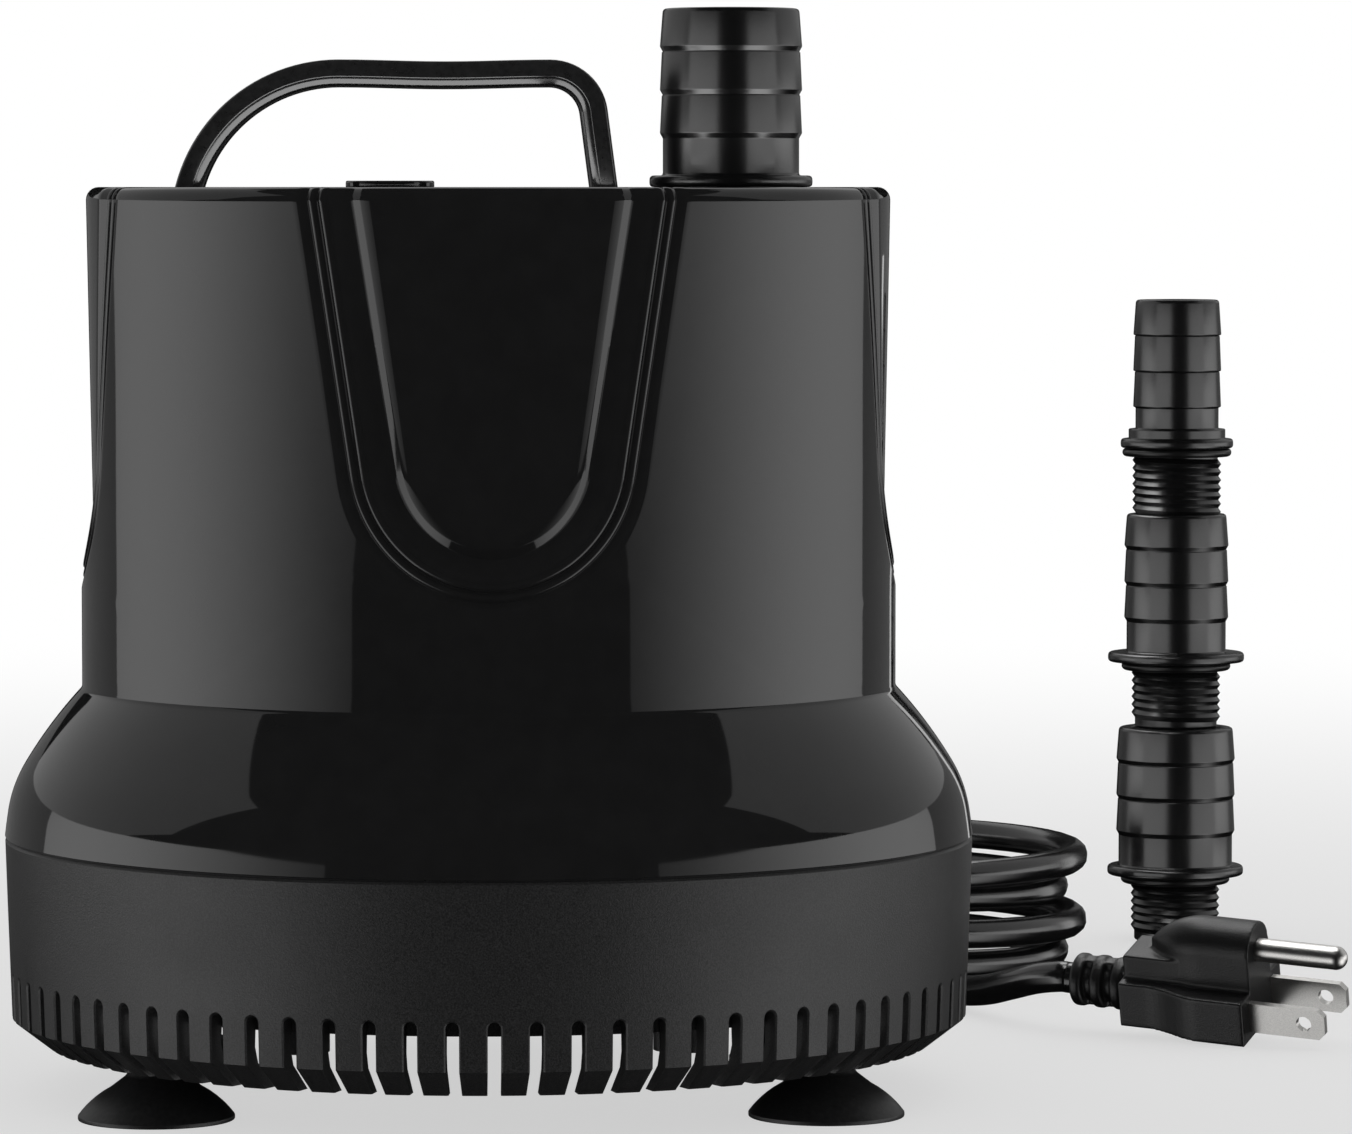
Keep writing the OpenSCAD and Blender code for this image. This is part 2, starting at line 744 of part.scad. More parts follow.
// Half section of an adapter standing on its threaded end
module adapter_section(barb_r, flange_r, step_r) {
    root_r = barb_r - barb_step / 2;
    bore_r = max(root_r - barb_wall, 5.5);
    end_r = min(flow_d / 2, bore_r);
    face_z = thread_len + flange_t;
    barb_z = face_z + neck_h;
    difference() {
        union() {
            square([thread_r, thread_len + eps]);
            translate([0, thread_len]) square([flange_r, flange_t]);
            translate([0, face_z - eps]) square([step_r, step_ring_h]);
            translate([0, face_z - eps]) square([root_r, neck_h + 2 * eps]);
            for (i = [0 : barb_count - 1])
                translate([0, barb_z + i * barb_pitch])
                    polygon([[0, 0], [barb_r - 0.5, 0], [barb_r, 0.9], [root_r, barb_pitch + eps], [0, barb_pitch + eps]]);
        }
        translate([-1, -1]) square([end_r + 1, adapter_h + 2]);
        translate([-1, thread_len - 2]) square([bore_r + 1, adapter_h]);
    }
}

module hose_adapter(barb_d, flange_d, step_d = 1) {
    color([0.07, 0.07, 0.075])
        rotate_extrude() adapter_section(barb_d / 2, flange_d / 2, step_d / 2);
}

module flange_seal() {
    color([0.03, 0.03, 0.03])
        translate([0, 0, thread_len - seal_r - 0.02])
            rotate_extrude() translate([seal_ring_r, 0]) circle(r = seal_r, $fn = 24);
}

module outlet_adapter() {
    translate([outlet_x, 0, top_z - thread_len]) hose_adapter(large_barb_d, wide_flange_d);
}

module outlet_seal() {
    translate([outlet_x, 0, top_z - thread_len]) flange_seal();
}

module spare_adapter_large() { translate(spare_pos) hose_adapter(large_barb_d, wide_flange_d); }

module spare_adapter_medium() {
    translate(spare_pos + [0, 0, adapter_h]) hose_adapter(medium_barb_d, wide_flange_d);
}

module spare_adapter_small() {
    translate(spare_pos + [0, 0, 2 * adapter_h]) hose_adapter(small_barb_d, small_flange_d, thread_d + 1);
}

module spare_seals() {
    for (i = [0 : 2]) translate(spare_pos + [0, 0, i * adapter_h]) flange_seal();
}

// Mains lead: gland, free stretches and coil

gland_neck_r = cord_d / 2 + 1.8;

module cord_gland() {
    sleeve_r = cord_d / 2 + 3;
    tip_sleeve_r = cord_d / 2 + 1.4;
    sleeve_len = gland_len - gland_collar[1];
    color([0.05, 0.05, 0.05])
        translate([0, 0, gland_z]) rotate([-90, 0, 0]) {
            translate([0, 0, cavity_r + 1]) cylinder(r = gland_neck_r, h = body_r - cavity_r);
            translate([0, 0, body_r + fit / 2]) cylinder(r = gland_collar[0], h = gland_collar[1] - fit / 2 + eps);
            translate([0, 0, body_r + gland_collar[1]])
                difference() {
                    cylinder(r1 = sleeve_r, r2 = tip_sleeve_r, h = sleeve_len);
                    for (i = [1 : 4])
                        translate([0, 0, i * sleeve_len / 5.2])
                            ring(sleeve_r + 1, tip_sleeve_r - 0.5, 1.6);
                }
        }
}

// Frame of a ring: two directions across the path, from its heading and a fixed up
function across(h) = let (u = abs(h[2]) > 0.95 ? [1, 0, 0] : [0, 0, 1], a = cross(h, u)) a / norm(a);
function heading(p, i) =
    let (n = len(p) - 1, d = p[min(i + 1, n)] - p[max(i - 1, 0)]) d / norm(d);

// One closed tube of round section along the points p, square at both ends
module tube(p, d, sides) {
    n = len(p);
    pts = [for (i = [0 : n - 1]) let (h = heading(p, i), a = across(h), b = cross(h, a))
           for (k = [0 : sides - 1]) p[i] + d / 2 * (cos(360 * k / sides) * a + sin(360 * k / sides) * b)];
    quads = [for (i = [0 : n - 2]) for (k = [0 : sides - 1])
             let (j = (k + 1) % sides, q = i * sides) each [
                 [q + k, q + sides + k, q + sides + j], [q + k, q + sides + j, q + j]]];
    caps = concat([for (k = [1 : sides - 2]) [0, k, k + 1]],
                  [for (k = [1 : sides - 2]) let (q = (n - 1) * sides) [q, q + k + 1, q + k]]);
    polyhedron(points = pts, faces = [for (f = concat(quads, caps)) [f[0], f[1], f[2]]]);
}

// Catmull-Rom point between b and c, and the curve through all points
function spline_at(a, b, c, d, t) =
    0.5 * (2 * b + (c - a) * t + (2 * a - 5 * b + 4 * c - d) * t * t + (3 * b - 3 * c + d - a) * t * t * t);
function spline(p, steps) = [
    for (i = [0 : len(p) - 2]) for (s = [0 : steps - 1])
        spline_at(p[max(i - 1, 0)], p[i], p[i + 1], p[min(i + 2, len(p) - 1)], s / steps),
    p[len(p) - 1]];

// Coil, from the plug end on the floor to the pump end on top.
// It spirals in and out on alternate layers and climbs as the spiral reverses.
coil_rings = 24;
layer_turns = coil_turns / coil_layers;
function climb(t) = t <= 0 ? 0 : t >= 1 ? 1 : t * t * (3 - 2 * t);
function coil_radius(t) = let (u = t / layer_turns, k = floor(u), f = u - k)
    coil_r - coil_inset * (k % 2 == 0 ? f : 1 - f);
function coil_height(t) = coil_floor + layer_pitch *
    (climb((t - layer_turns) * 2 + 0.5) + climb((t - 2 * layer_turns) * 2 + 0.5)
     + climb((t - 3 * layer_turns) * 2 + 0.5));
function coil_point(t) = let (a = coil_start - 360 * t)
    [coil_centre[0] + coil_radius(t) * cos(a), coil_centre[1] + coil_radius(t) * sin(a), coil_height(t)];
coil_n = round(coil_turns * coil_rings);
coil_mid = [for (i = [0 : coil_n]) coil_point(coil_turns * i / coil_n)];
coil_from = coil_mid[0] - cord_d * [sin(coil_start), -cos(coil_start), 0];
coil_to_angle = coil_start - 360 * coil_turns;
coil_to = coil_mid[coil_n] + cord_d * [sin(coil_to_angle), -cos(coil_to_angle), 0];
coil_path = concat([coil_from], coil_mid, [coil_to]);

// Least clear distance between stretches of the coil at least half a turn apart
coil_gap = min([for (i = [0 : 2 : coil_n - 12]) for (j = [i + 12 : coil_n])
                norm(coil_mid[i] - coil_mid[j])]) - cord_d;
echo(coil_gap = coil_gap);

// The free stretches, as points chosen along the way the lead lies
gland_exit = [0, gland_end_y, gland_z];
lead_route = [[1, 118, 86], [4, 127, 80], [10, 135, 70], [18, 140.5, 58], [27, 143.5, 46],
              [37, 144.8, 36], [47, 145, 29], [57, 144.6, 25.6]];
tail_route = [[80, 141.6, 3.2], [89, 136.5, 3.2], [96, 128, 3.4], [100.5, 117, 4.2], [104.5, 106, 5.8],
              [108.5, 96, 8.1], [112.8, 88, 10.2]];

plug_dir = [cos(plug_yaw) * cos(plug_pitch), sin(plug_yaw) * cos(plug_pitch), -sin(plug_pitch)];
plug_rear = [plug_pos[0], plug_pos[1], relief_z];
cord_gap = 0.06;
lead_points = concat([gland_exit, gland_exit + [0, 3, 0]], lead_route,
                     [coil_to + cord_d / 2 * (coil_to - coil_mid[coil_n]) / cord_d, coil_to]);
tail_points = concat([coil_from, coil_from + (coil_from - coil_mid[0]) / 2], tail_route,
                     [plug_rear - 4 * plug_dir, plug_rear - 2 * plug_dir, plug_rear - cord_gap * plug_dir]);

module cord_lead() { color([0.03, 0.03, 0.03]) tube(spline(lead_points, 3), cord_d, 8); }
module cord_coil() { color([0.03, 0.03, 0.03]) tube(coil_path, cord_d, 6); }
module cord_tail() { color([0.03, 0.03, 0.03]) tube(spline(tail_points, 3), cord_d, 8); }

// Plug

// Places its child in the plug's own frame: +X towards the blades, from the relief's rear end
module at_plug() {
    translate(plug_rear) rotate([plug_roll, plug_pitch, plug_yaw]) translate([0, 0, -relief_up]) children();
}

// Blunt nose: a tangent arc turned about +X, r at its root, pointing at len but cut short at reach
module ogive(r, len, reach) {
    arc_r = (r * r + len * len) / (2 * r);
    rotate([0, -90, 0]) rotate_extrude()
        intersection() {
            translate([r - arc_r, 0]) circle(r = arc_r);
            translate([0, -1]) square([r, reach + 1]);
        }
}

module plug_body() {
    ridge_r = ground_d / 2 + 3.4;
    ridge_z = blade_z + ground_rise;
    ridge_len = 11;
    rear_w = plug_w / 2 - 3.2;
    flare = [relief_len + 6, relief_len + 16];
    rear_block = [12, 10.5, ridge_z - 1.6];
    color([0.04, 0.04, 0.04])
        at_plug() difference() {
            union() {
                // lower block, flared towards the blades
                linear_extrude(plug_low_h)
                    polygon([[relief_len - 1, -rear_w], [flare[0], -rear_w], [flare[1], -plug_w / 2],
                             [face_x, -plug_w / 2], [face_x, plug_w / 2], [flare[1], plug_w / 2],
                             [flare[0], rear_w], [relief_len - 1, rear_w]]);
                // round ridge over the ground pin, with its blunt nose
                translate([face_x - ridge_len, 0, ridge_z]) rotate([0, 90, 0]) cylinder(r = ridge_r, h = ridge_len);
                translate([face_x - ridge_len, -ridge_r, plug_low_h - 1])
                    cube([ridge_len, 2 * ridge_r, ridge_z - plug_low_h + 1]);
                translate([face_x - ridge_len, 0, ridge_z]) ogive(ridge_r, 12, 11);
                translate([relief_len, -rear_block[1] / 2, 1]) cube([rear_block[0], rear_block[1], rear_block[2] - 1]);
                // ribbed strain relief
                translate([0, 0, relief_up]) rotate([0, 90, 0])
                    rotate_extrude() {
                        square([4.2, relief_len + 1]);
                        for (i = [0 : 2]) translate([0, i * 4.4]) square([5.4, 2.7]);
                    }
            }
            for (s = [-1, 1])
                translate([face_x - 6, s * plug_d1 / 2 - blade_t / 2 - run_fit, blade_z - blade_w / 2 - run_fit])
                    cube([7, blade_t + 2 * run_fit, blade_w + 2 * run_fit]);
            translate([face_x - 6, 0, ridge_z]) rotate([0, 90, 0]) cylinder(d = ground_d - 0.6 + 2 * run_fit, h = 7);
        }
}

module plug_blades() {
    reach = blade_len + 6 - run_fit;
    cut = 1.3;
    color([0.78, 0.78, 0.78])
        at_plug() for (s = [-1, 1])
            translate([face_x - 6 + run_fit, s * plug_d1 / 2 + blade_t / 2, blade_z])
                rotate([90, 0, 0]) linear_extrude(blade_t)
                    difference() {
                        polygon([[0, -blade_w / 2], [reach - cut, -blade_w / 2], [reach, cut - blade_w / 2],
                                 [reach, blade_w / 2 - cut], [reach - cut, blade_w / 2], [0, blade_w / 2]]);
                        translate([reach - 4.4, 0]) circle(d = 3.2, $fn = 32);
                    }
}

module plug_ground_pin() {
    stub_d = ground_d - 0.6;
    color([0.8, 0.8, 0.8])
        at_plug() translate([face_x, 0, blade_z + ground_rise]) rotate([0, 90, 0]) {
            translate([0, 0, -6 + run_fit]) cylinder(d = stub_d, h = 7);
            translate([0, 0, run_fit]) cylinder(d = ground_d, h = ground_len - ground_d / 2);
            translate([0, 0, ground_len - ground_d / 2]) sphere(d = ground_d);
        }
}

strainer_base();
intake_plate();
suction_cup_front_left();
suction_cup_front_right();
suction_cup_rear_left();
suction_cup_rear_right();
cover_screws();
volute_casing();
casing_seal();
motor_plate();
riser_pipe();
rotor_shaft();
upper_bush();
lower_bush();
rotor_magnet();
impeller();
stator_core();
stator_winding_front();
stator_winding_rear();
thermal_cutout();
housing_shell();
fill_plug();
carry_handle();
outlet_seal();
outlet_adapter();
spare_adapter_large();
spare_adapter_medium();
spare_adapter_small();
spare_seals();
cord_gland();
cord_lead();
cord_coil();
cord_tail();
plug_body();
plug_blades();
plug_ground_pin();
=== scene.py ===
"""Dresses the fountain pump with its finishes, moulded shells, hose adapters, lead and plug.

Lengths are metres in the part's own frame: +Z up, the origin on the pump's axis at the
surface that it stands on, and the photographed front towards -Y. The driving sizes are
written in millimetres times MM.
"""
import logging
import math
from dataclasses import dataclass
from enum import Enum
from typing import Sequence

import bmesh
import bpy
from bmesh.types import BMesh
from bpy.types import ID, Material, Mesh, Node, NodeSocket, NodeTree, Object
from mathutils import Matrix, Vector

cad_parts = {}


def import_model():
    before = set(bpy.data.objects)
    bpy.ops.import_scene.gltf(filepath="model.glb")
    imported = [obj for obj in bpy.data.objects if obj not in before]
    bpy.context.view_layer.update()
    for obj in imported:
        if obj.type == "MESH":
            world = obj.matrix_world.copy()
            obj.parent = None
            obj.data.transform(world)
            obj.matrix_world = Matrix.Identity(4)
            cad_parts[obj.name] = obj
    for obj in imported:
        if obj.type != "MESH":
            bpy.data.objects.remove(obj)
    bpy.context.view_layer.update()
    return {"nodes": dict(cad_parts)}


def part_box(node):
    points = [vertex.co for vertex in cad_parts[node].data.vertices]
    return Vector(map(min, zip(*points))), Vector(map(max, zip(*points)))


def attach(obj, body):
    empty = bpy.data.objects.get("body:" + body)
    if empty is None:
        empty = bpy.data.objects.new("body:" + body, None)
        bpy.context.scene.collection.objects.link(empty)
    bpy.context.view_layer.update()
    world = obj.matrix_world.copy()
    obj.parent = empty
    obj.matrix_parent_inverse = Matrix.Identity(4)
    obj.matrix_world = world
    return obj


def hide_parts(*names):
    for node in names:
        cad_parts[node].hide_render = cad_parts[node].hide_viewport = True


MM = 0.001
PUMP = "pump"
LOG = logging.getLogger("pump")
BRUSH_STRETCH = 0.08
CLOUD_GRAINS = 40
BAND_SCALE = 0.314
WELD = 0.002 * MM
SLIVER = 0.0005 * MM

Point = tuple[float, float]
Triple = tuple[float, float, float]
Edges = tuple[float, float, float, float]


def add_node(tree: NodeTree, kind: str, *values: object, **options: object) -> Node:
    """Adds a node to a tree, with its settings and its inputs.

    Args:
        tree: The tree.
        kind: The node's type name.
        values: Values or sockets for the first inputs, in order.
        options: Settings in lower case, and values or sockets by an input's name, with _ for a space.

    Returns:
        The new node.
    """
    node = tree.nodes.new(kind)
    for name in [name for name in options if name.islower()]:
        setattr(node, name, options.pop(name))
    named = [(node.inputs[name.replace("_", " ")], value) for name, value in options.items()]
    for socket, value in [*zip(node.inputs, values), *named]:
        if isinstance(value, NodeSocket):
            tree.links.new(value, socket)
        else:
            socket.default_value = value
    return node


def maths(tree: NodeTree, operation: str, *values: object) -> NodeSocket:
    """Adds a maths node on values or sockets and gives its result."""
    return add_node(tree, "ShaderNodeMath", *values, operation=operation).outputs[0]


def new_material(name: str) -> tuple[Material, NodeTree]:
    """Makes a material with nodes.

    Args:
        name: Its name.

    Returns:
        The material and its tree.
    """
    material = bpy.data.materials.new(name)
    material.use_nodes = True
    return material, material.node_tree


class Grain(Enum):
    """Surface structure of a finish."""

    POLISHED = "mirror-like moulding"
    SPARK = "spark-eroded moulding"
    SATIN = "satin moulding"
    BRUSHED = "drawn metal"
    STACKED = "stacked sheets"
    WOUND = "wound wire"


@dataclass(frozen=True)
class Finish:
    """One finish: its colour, its gloss and the fine structure of its surface.

    grain_size is the width of one grain, relief the height of the grains, and spread how far
    colour and roughness wander around their middle values.
    """

    name: str
    colour: Triple
    roughness: float
    grain: Grain
    grain_size: float
    relief: float
    spread: float = 0.15
    metallic: float = 0.0
    ior: float = 1.5

    def material(self) -> Material:
        """Makes the finish's material once, and gives it back on later calls.

        Returns:
            The node material of this finish.
        """
        name = "finish_" + self.name
        found = bpy.data.materials.get(name)
        if found:
            return found
        material, tree = new_material(name)
        material.diffuse_color = (*self.colour, 1.0)
        self._wire(tree)
        return material

    def _wire(self, tree: NodeTree) -> None:
        """Adds the nodes for colour, roughness and relief.

        Args:
            tree: The material's node tree.
        """
        shader = tree.nodes["Principled BSDF"].inputs
        shader["Metallic"].default_value = self.metallic
        shader["IOR"].default_value = self.ior
        place = add_node(tree, "ShaderNodeTexCoord").outputs["Object"]
        along = BRUSH_STRETCH if self.grain is Grain.BRUSHED else 1.0
        space = add_node(tree, "ShaderNodeMapping", Vector=place, Scale=(along, 1.0, 1.0))
        height = self._pattern(tree, space.outputs["Vector"])
        cloud = add_node(tree, "ShaderNodeTexNoise", Vector=place, Detail=3.0,
                         Scale=1.0 / (CLOUD_GRAINS * self.grain_size))
        gloss = add_node(tree, "ShaderNodeMapRange", Value=cloud.outputs["Fac"], From_Min=0.3, From_Max=0.7,
                         To_Min=self.roughness * (1 - self.spread / 4),
                         To_Max=self.roughness * (1 + self.spread / 4))
        shade = add_node(tree, "ShaderNodeValToRGB", Fac=height)
        low, high = shade.color_ramp.elements
        low.position, high.position = 0.35, 0.72
        low.color = (*(c * (1 - self.spread) for c in self.colour), 1.0)
        high.color = (*(min(c * (1 + 2 * self.spread), 1.0) for c in self.colour), 1.0)
        bump = add_node(tree, "ShaderNodeBump", Strength=1.0, Distance=self.relief, Height=height)
        tree.links.new(gloss.outputs["Result"], shader["Roughness"])
        tree.links.new(shade.outputs["Color"], shader["Base Color"])
        tree.links.new(bump.outputs["Normal"], shader["Normal"])

    def _pattern(self, tree: NodeTree, space: NodeSocket) -> NodeSocket:
        """Adds the texture node that draws the grain.

        Args:
            tree: The material's node tree.
            space: The pattern's space.

        Returns:
            The socket with the grain's height.
        """
        if self.grain in (Grain.STACKED, Grain.WOUND):
            node = add_node(tree, "ShaderNodeTexWave", wave_type="BANDS", Vector=space, Distortion=0.3,
                            bands_direction="Z" if self.grain is Grain.STACKED else "X",
                            Scale=BAND_SCALE / self.grain_size)
        else:
            node = add_node(tree, "ShaderNodeTexNoise", Vector=space, Scale=1.0 / self.grain_size,
                            Detail=2.0, Roughness=0.6)
        return node.outputs["Fac"]


SHELL_GLOSS = Finish("shell_gloss", (0.018, 0.018, 0.0183), 0.045, Grain.POLISHED, 6 * MM, 0.0005 * MM,
                     0.05)
BASE_SPARK = Finish("base_spark", (0.030, 0.030, 0.0305), 0.40, Grain.SPARK, 0.30 * MM, 0.05 * MM, 0.35)
HANDLE_SATIN = Finish("handle_satin", (0.034, 0.034, 0.0345), 0.14, Grain.SATIN, 1.2 * MM, 0.004 * MM, 0.15,
                      0.0, 1.8)
ADAPTER_SATIN = Finish("adapter_satin", (0.008, 0.008, 0.0083), 0.26, Grain.SATIN, 0.6 * MM, 0.008 * MM, 0.2,
                       0.0, 1.8)
CUP_RUBBER = Finish("cup_rubber", (0.020, 0.020, 0.0205), 0.42, Grain.SATIN, 0.8 * MM, 0.01 * MM, 0.2)
SEAL_RUBBER = Finish("seal_rubber", (0.010, 0.010, 0.010), 0.30, Grain.SATIN, 0.5 * MM, 0.006 * MM)
CORD_PVC = Finish("cord_pvc", (0.008, 0.008, 0.0083), 0.20, Grain.SATIN, 1.5 * MM, 0.012 * MM, 0.15, 0.0,
                  1.7)
PLUG_SPARK = Finish("plug_spark", (0.010, 0.010, 0.0104), 0.42, Grain.SPARK, 0.35 * MM, 0.05 * MM, 0.25)
PRONG_NICKEL = Finish("prong_nickel", (0.72, 0.71, 0.69), 0.35, Grain.BRUSHED, 0.15 * MM, 0.002 * MM, 0.08,
                      1.0)
SCREW_STEEL = Finish("screw_steel", (0.50, 0.50, 0.51), 0.32, Grain.BRUSHED, 0.2 * MM, 0.004 * MM, 0.1, 1.0)
INNER_PLASTIC = Finish("inner_plastic", (0.045, 0.045, 0.047), 0.45, Grain.SPARK, 0.5 * MM, 0.05 * MM, 0.2)
SHAFT_CERAMIC = Finish("shaft_ceramic", (0.80, 0.79, 0.75), 0.18, Grain.POLISHED, 2 * MM, 0.0008 * MM, 0.06)
MAGNET_FERRITE = Finish("magnet_ferrite", (0.10, 0.10, 0.105), 0.50, Grain.SPARK, 0.3 * MM, 0.03 * MM, 0.2)
IMPELLER_PLASTIC = Finish("impeller_plastic", (0.72, 0.72, 0.69), 0.38, Grain.SATIN, 1 * MM, 0.01 * MM, 0.05)
STATOR_STEEL = Finish("stator_steel", (0.32, 0.33, 0.35), 0.40, Grain.STACKED, 0.5 * MM, 0.05 * MM, 0.2, 1.0)
WINDING_COPPER = Finish("winding_copper", (0.52, 0.22, 0.08), 0.28, Grain.WOUND, 0.4 * MM, 0.1 * MM, 0.2, 1.0)
CUTOUT_PLASTIC = Finish("cutout_plastic", (0.66, 0.64, 0.56), 0.45, Grain.SATIN, 1 * MM, 0.01 * MM, 0.06)

NODE_FINISHES: dict[Finish, tuple[str, ...]] = {
    BASE_SPARK: ("intake_plate",),
    SCREW_STEEL: ("cover_screws",),
    INNER_PLASTIC: ("volute_casing", "motor_plate", "riser_pipe"),
    SEAL_RUBBER: ("casing_seal", "upper_bush", "lower_bush", "outlet_seal", "spare_seals"),
    SHAFT_CERAMIC: ("rotor_shaft",),
    MAGNET_FERRITE: ("rotor_magnet",),
    IMPELLER_PLASTIC: ("impeller",),
    STATOR_STEEL: ("stator_core",),
    WINDING_COPPER: ("stator_winding_front", "stator_winding_rear"),
    CUTOUT_PLASTIC: ("thermal_cutout",),
    PRONG_NICKEL: ("plug_blades", "plug_ground_pin"),
}


def smoothstep(low: float, high: float, value: float) -> float:
    """Runs from 0 at low to 1 at high along a smooth S."""
    t = min(max((value - low) / (high - low), 0.0), 1.0)
    return t * t * (3 - 2 * t)


def lerp(a: float, b: float, t: float) -> float:
    """Blends from a at t = 0 to b at t = 1."""
    return a + (b - a) * t


def bow(start: Vector, middle: Vector, end: Vector, t: float) -> Vector:
    """Follows the curve that leaves start towards middle and comes to end from it."""
    return start * (1 - t) ** 2 + middle * 2 * t * (1 - t) + end * t ** 2


def skin(rows: Sequence[Sequence], closed: bool = False) -> list[list]:
    """Joins rows of points by four-sided faces.

    Args:
        rows: Points or point numbers, as many in each row.
        closed: Whether each row runs round to its own start.

    Returns:
        The faces.
    """
    faces = []
    for low, high in zip(rows, rows[1:]):
        count = len(low)
        for k in range(count if closed else count - 1):
            j = (k + 1) % count
            faces.append([low[k], low[j], high[j], high[k]])
    return faces


class Points(list):
    """Growing list of a mesh's points."""

    def put(self, x: float, y: float, z: float) -> int:
        """Adds a point and gives its number."""
        self.append(Vector((x, y, z)))
        return len(self) - 1

    def polar(self, radius: float, angle: float, z: float) -> int:
        """Adds a point by its radius, angle and height, and gives its number."""
        return self.put(radius * math.cos(angle), radius * math.sin(angle), z)

    def toward(self, place: Vector, radius: float, z: float) -> int:
        """Adds a point at a radius and a height in the direction of a place, and gives its number."""
        flat = Vector((place.x, place.y, 0)).normalized() * radius
        return self.put(flat.x, flat.y, z)


def add_object(name: str, data: ID) -> Object:
    """Adds an object to the scene.

    Args:
        name: Its name.
        data: Its mesh, curve or camera.

    Returns:
        The object, at the origin.
    """
    thing = bpy.data.objects.new(name, data)
    bpy.context.scene.collection.objects.link(thing)
    return thing


def weld(mesh: Mesh, near: float, sliver: float = 0.0) -> None:
    """Joins a mesh's points that lie together and turns its faces outwards.

    Args:
        mesh: The mesh.
        near: Points closer than this are joined.
        sliver: Edges shorter than this are dissolved, if it is given.
    """
    made = bmesh.new()
    made.from_mesh(mesh)
    bmesh.ops.remove_doubles(made, verts=made.verts, dist=near)
    if sliver:
        bmesh.ops.dissolve_degenerate(made, edges=made.edges, dist=sliver)
    bmesh.ops.recalc_face_normals(made, faces=made.faces)
    made.to_mesh(mesh)
    made.free()


def shade_smooth(mesh: Mesh, sharp: float) -> None:
    """Shades a mesh smooth, except across its sharp edges.

    Args:
        mesh: The mesh.
        sharp: Edges that turn by more than this many degrees stay sharp.
    """
    mesh.polygons.foreach_set("use_smooth", [True] * len(mesh.polygons))
    mesh.set_sharp_from_angle(angle=math.radians(sharp))
    mesh.update()


def plain_mesh(thing: Object) -> Mesh:
    """Swaps an object's mesh for what its modifiers make of it, and removes them.

    Args:
        thing: The object.

    Returns:
        The new mesh.
    """
    graph = bpy.context.evaluated_depsgraph_get()
    mesh = bpy.data.meshes.new_from_object(thing.evaluated_get(graph), depsgraph=graph)
    thing.modifiers.clear()
    old, thing.data = thing.data, mesh
    bpy.data.meshes.remove(old)
    mesh.name = thing.name
    return mesh


def piece(name: str, verts: Sequence[Sequence[float]], faces: Sequence[Sequence[int]],
          finish: Finish, sharp: float = 40.0) -> Object:
    """Makes a closed, smooth-shaded piece from points and faces.

    Args:
        name: The piece's name.
        verts: Its points, in metres.
        faces: Its faces, as point numbers.
        finish: The finish that it wears.
        sharp: Edges that turn by more than this many degrees stay sharp.

    Returns:
        The new object, at the origin.
    """
    mesh = bpy.data.meshes.new(name)
    mesh.from_pydata([tuple(v) for v in verts], [], [tuple(f) for f in faces])
    weld(mesh, WELD, SLIVER)
    shade_smooth(mesh, sharp)
    mesh.materials.append(finish.material())
    return add_object(name, mesh)


def fillet(corners: Sequence[Triple], steps: int = 4) -> list[Point]:
    """Rounds the corners of a closed outline.

    Args:
        corners: Each corner as x, y and the radius of its rounding.
        steps: How many straight pieces make one rounding.

    Returns:
        The points of the rounded outline.
    """
    path: list[Point] = []
    count = len(corners)
    for i, (x, y, radius) in enumerate(corners):
        here = Vector((x, y))
        back = Vector(corners[i - 1][:2]) - here
        ahead = Vector(corners[(i + 1) % count][:2]) - here
        if radius <= 0 or back.length < 1e-9 or ahead.length < 1e-9:
            path.append((x, y))
            continue
        half = back.angle(ahead) / 2
        reach = min(radius / math.tan(half), back.length * 0.49, ahead.length * 0.49)
        start = here + back.normalized() * reach
        end = here + ahead.normalized() * reach
        path += [tuple(bow(start, here, end, k / steps)) for k in range(steps + 1)]
    return path


def lathe(outline: Sequence[Point], segments: int,
          centre: Sequence[float] = (0, 0, 0)) -> tuple[list[Vector], list[list[int]]]:
    """Turns a closed outline of radius and height about an upright axis.

    Args:
        outline: The outline's points, as radius and height.
        segments: Steps around the axis.
        centre: A point on the axis, from which heights are measured.

    Returns:
        The points and faces of the turned solid.
    """
    origin = Vector(centre)
    count = len(outline)
    verts = [origin + Vector((r * math.cos(a), r * math.sin(a), z))
             for a in (2 * math.pi * k / segments for k in range(segments)) for r, z in outline]
    faces = []
    for k in range(segments):
        here, there = k * count, (k + 1) % segments * count
        for i in range(count):
            j = (i + 1) % count
            faces.append([here + i, there + i, there + j, here + j])
    return verts, faces


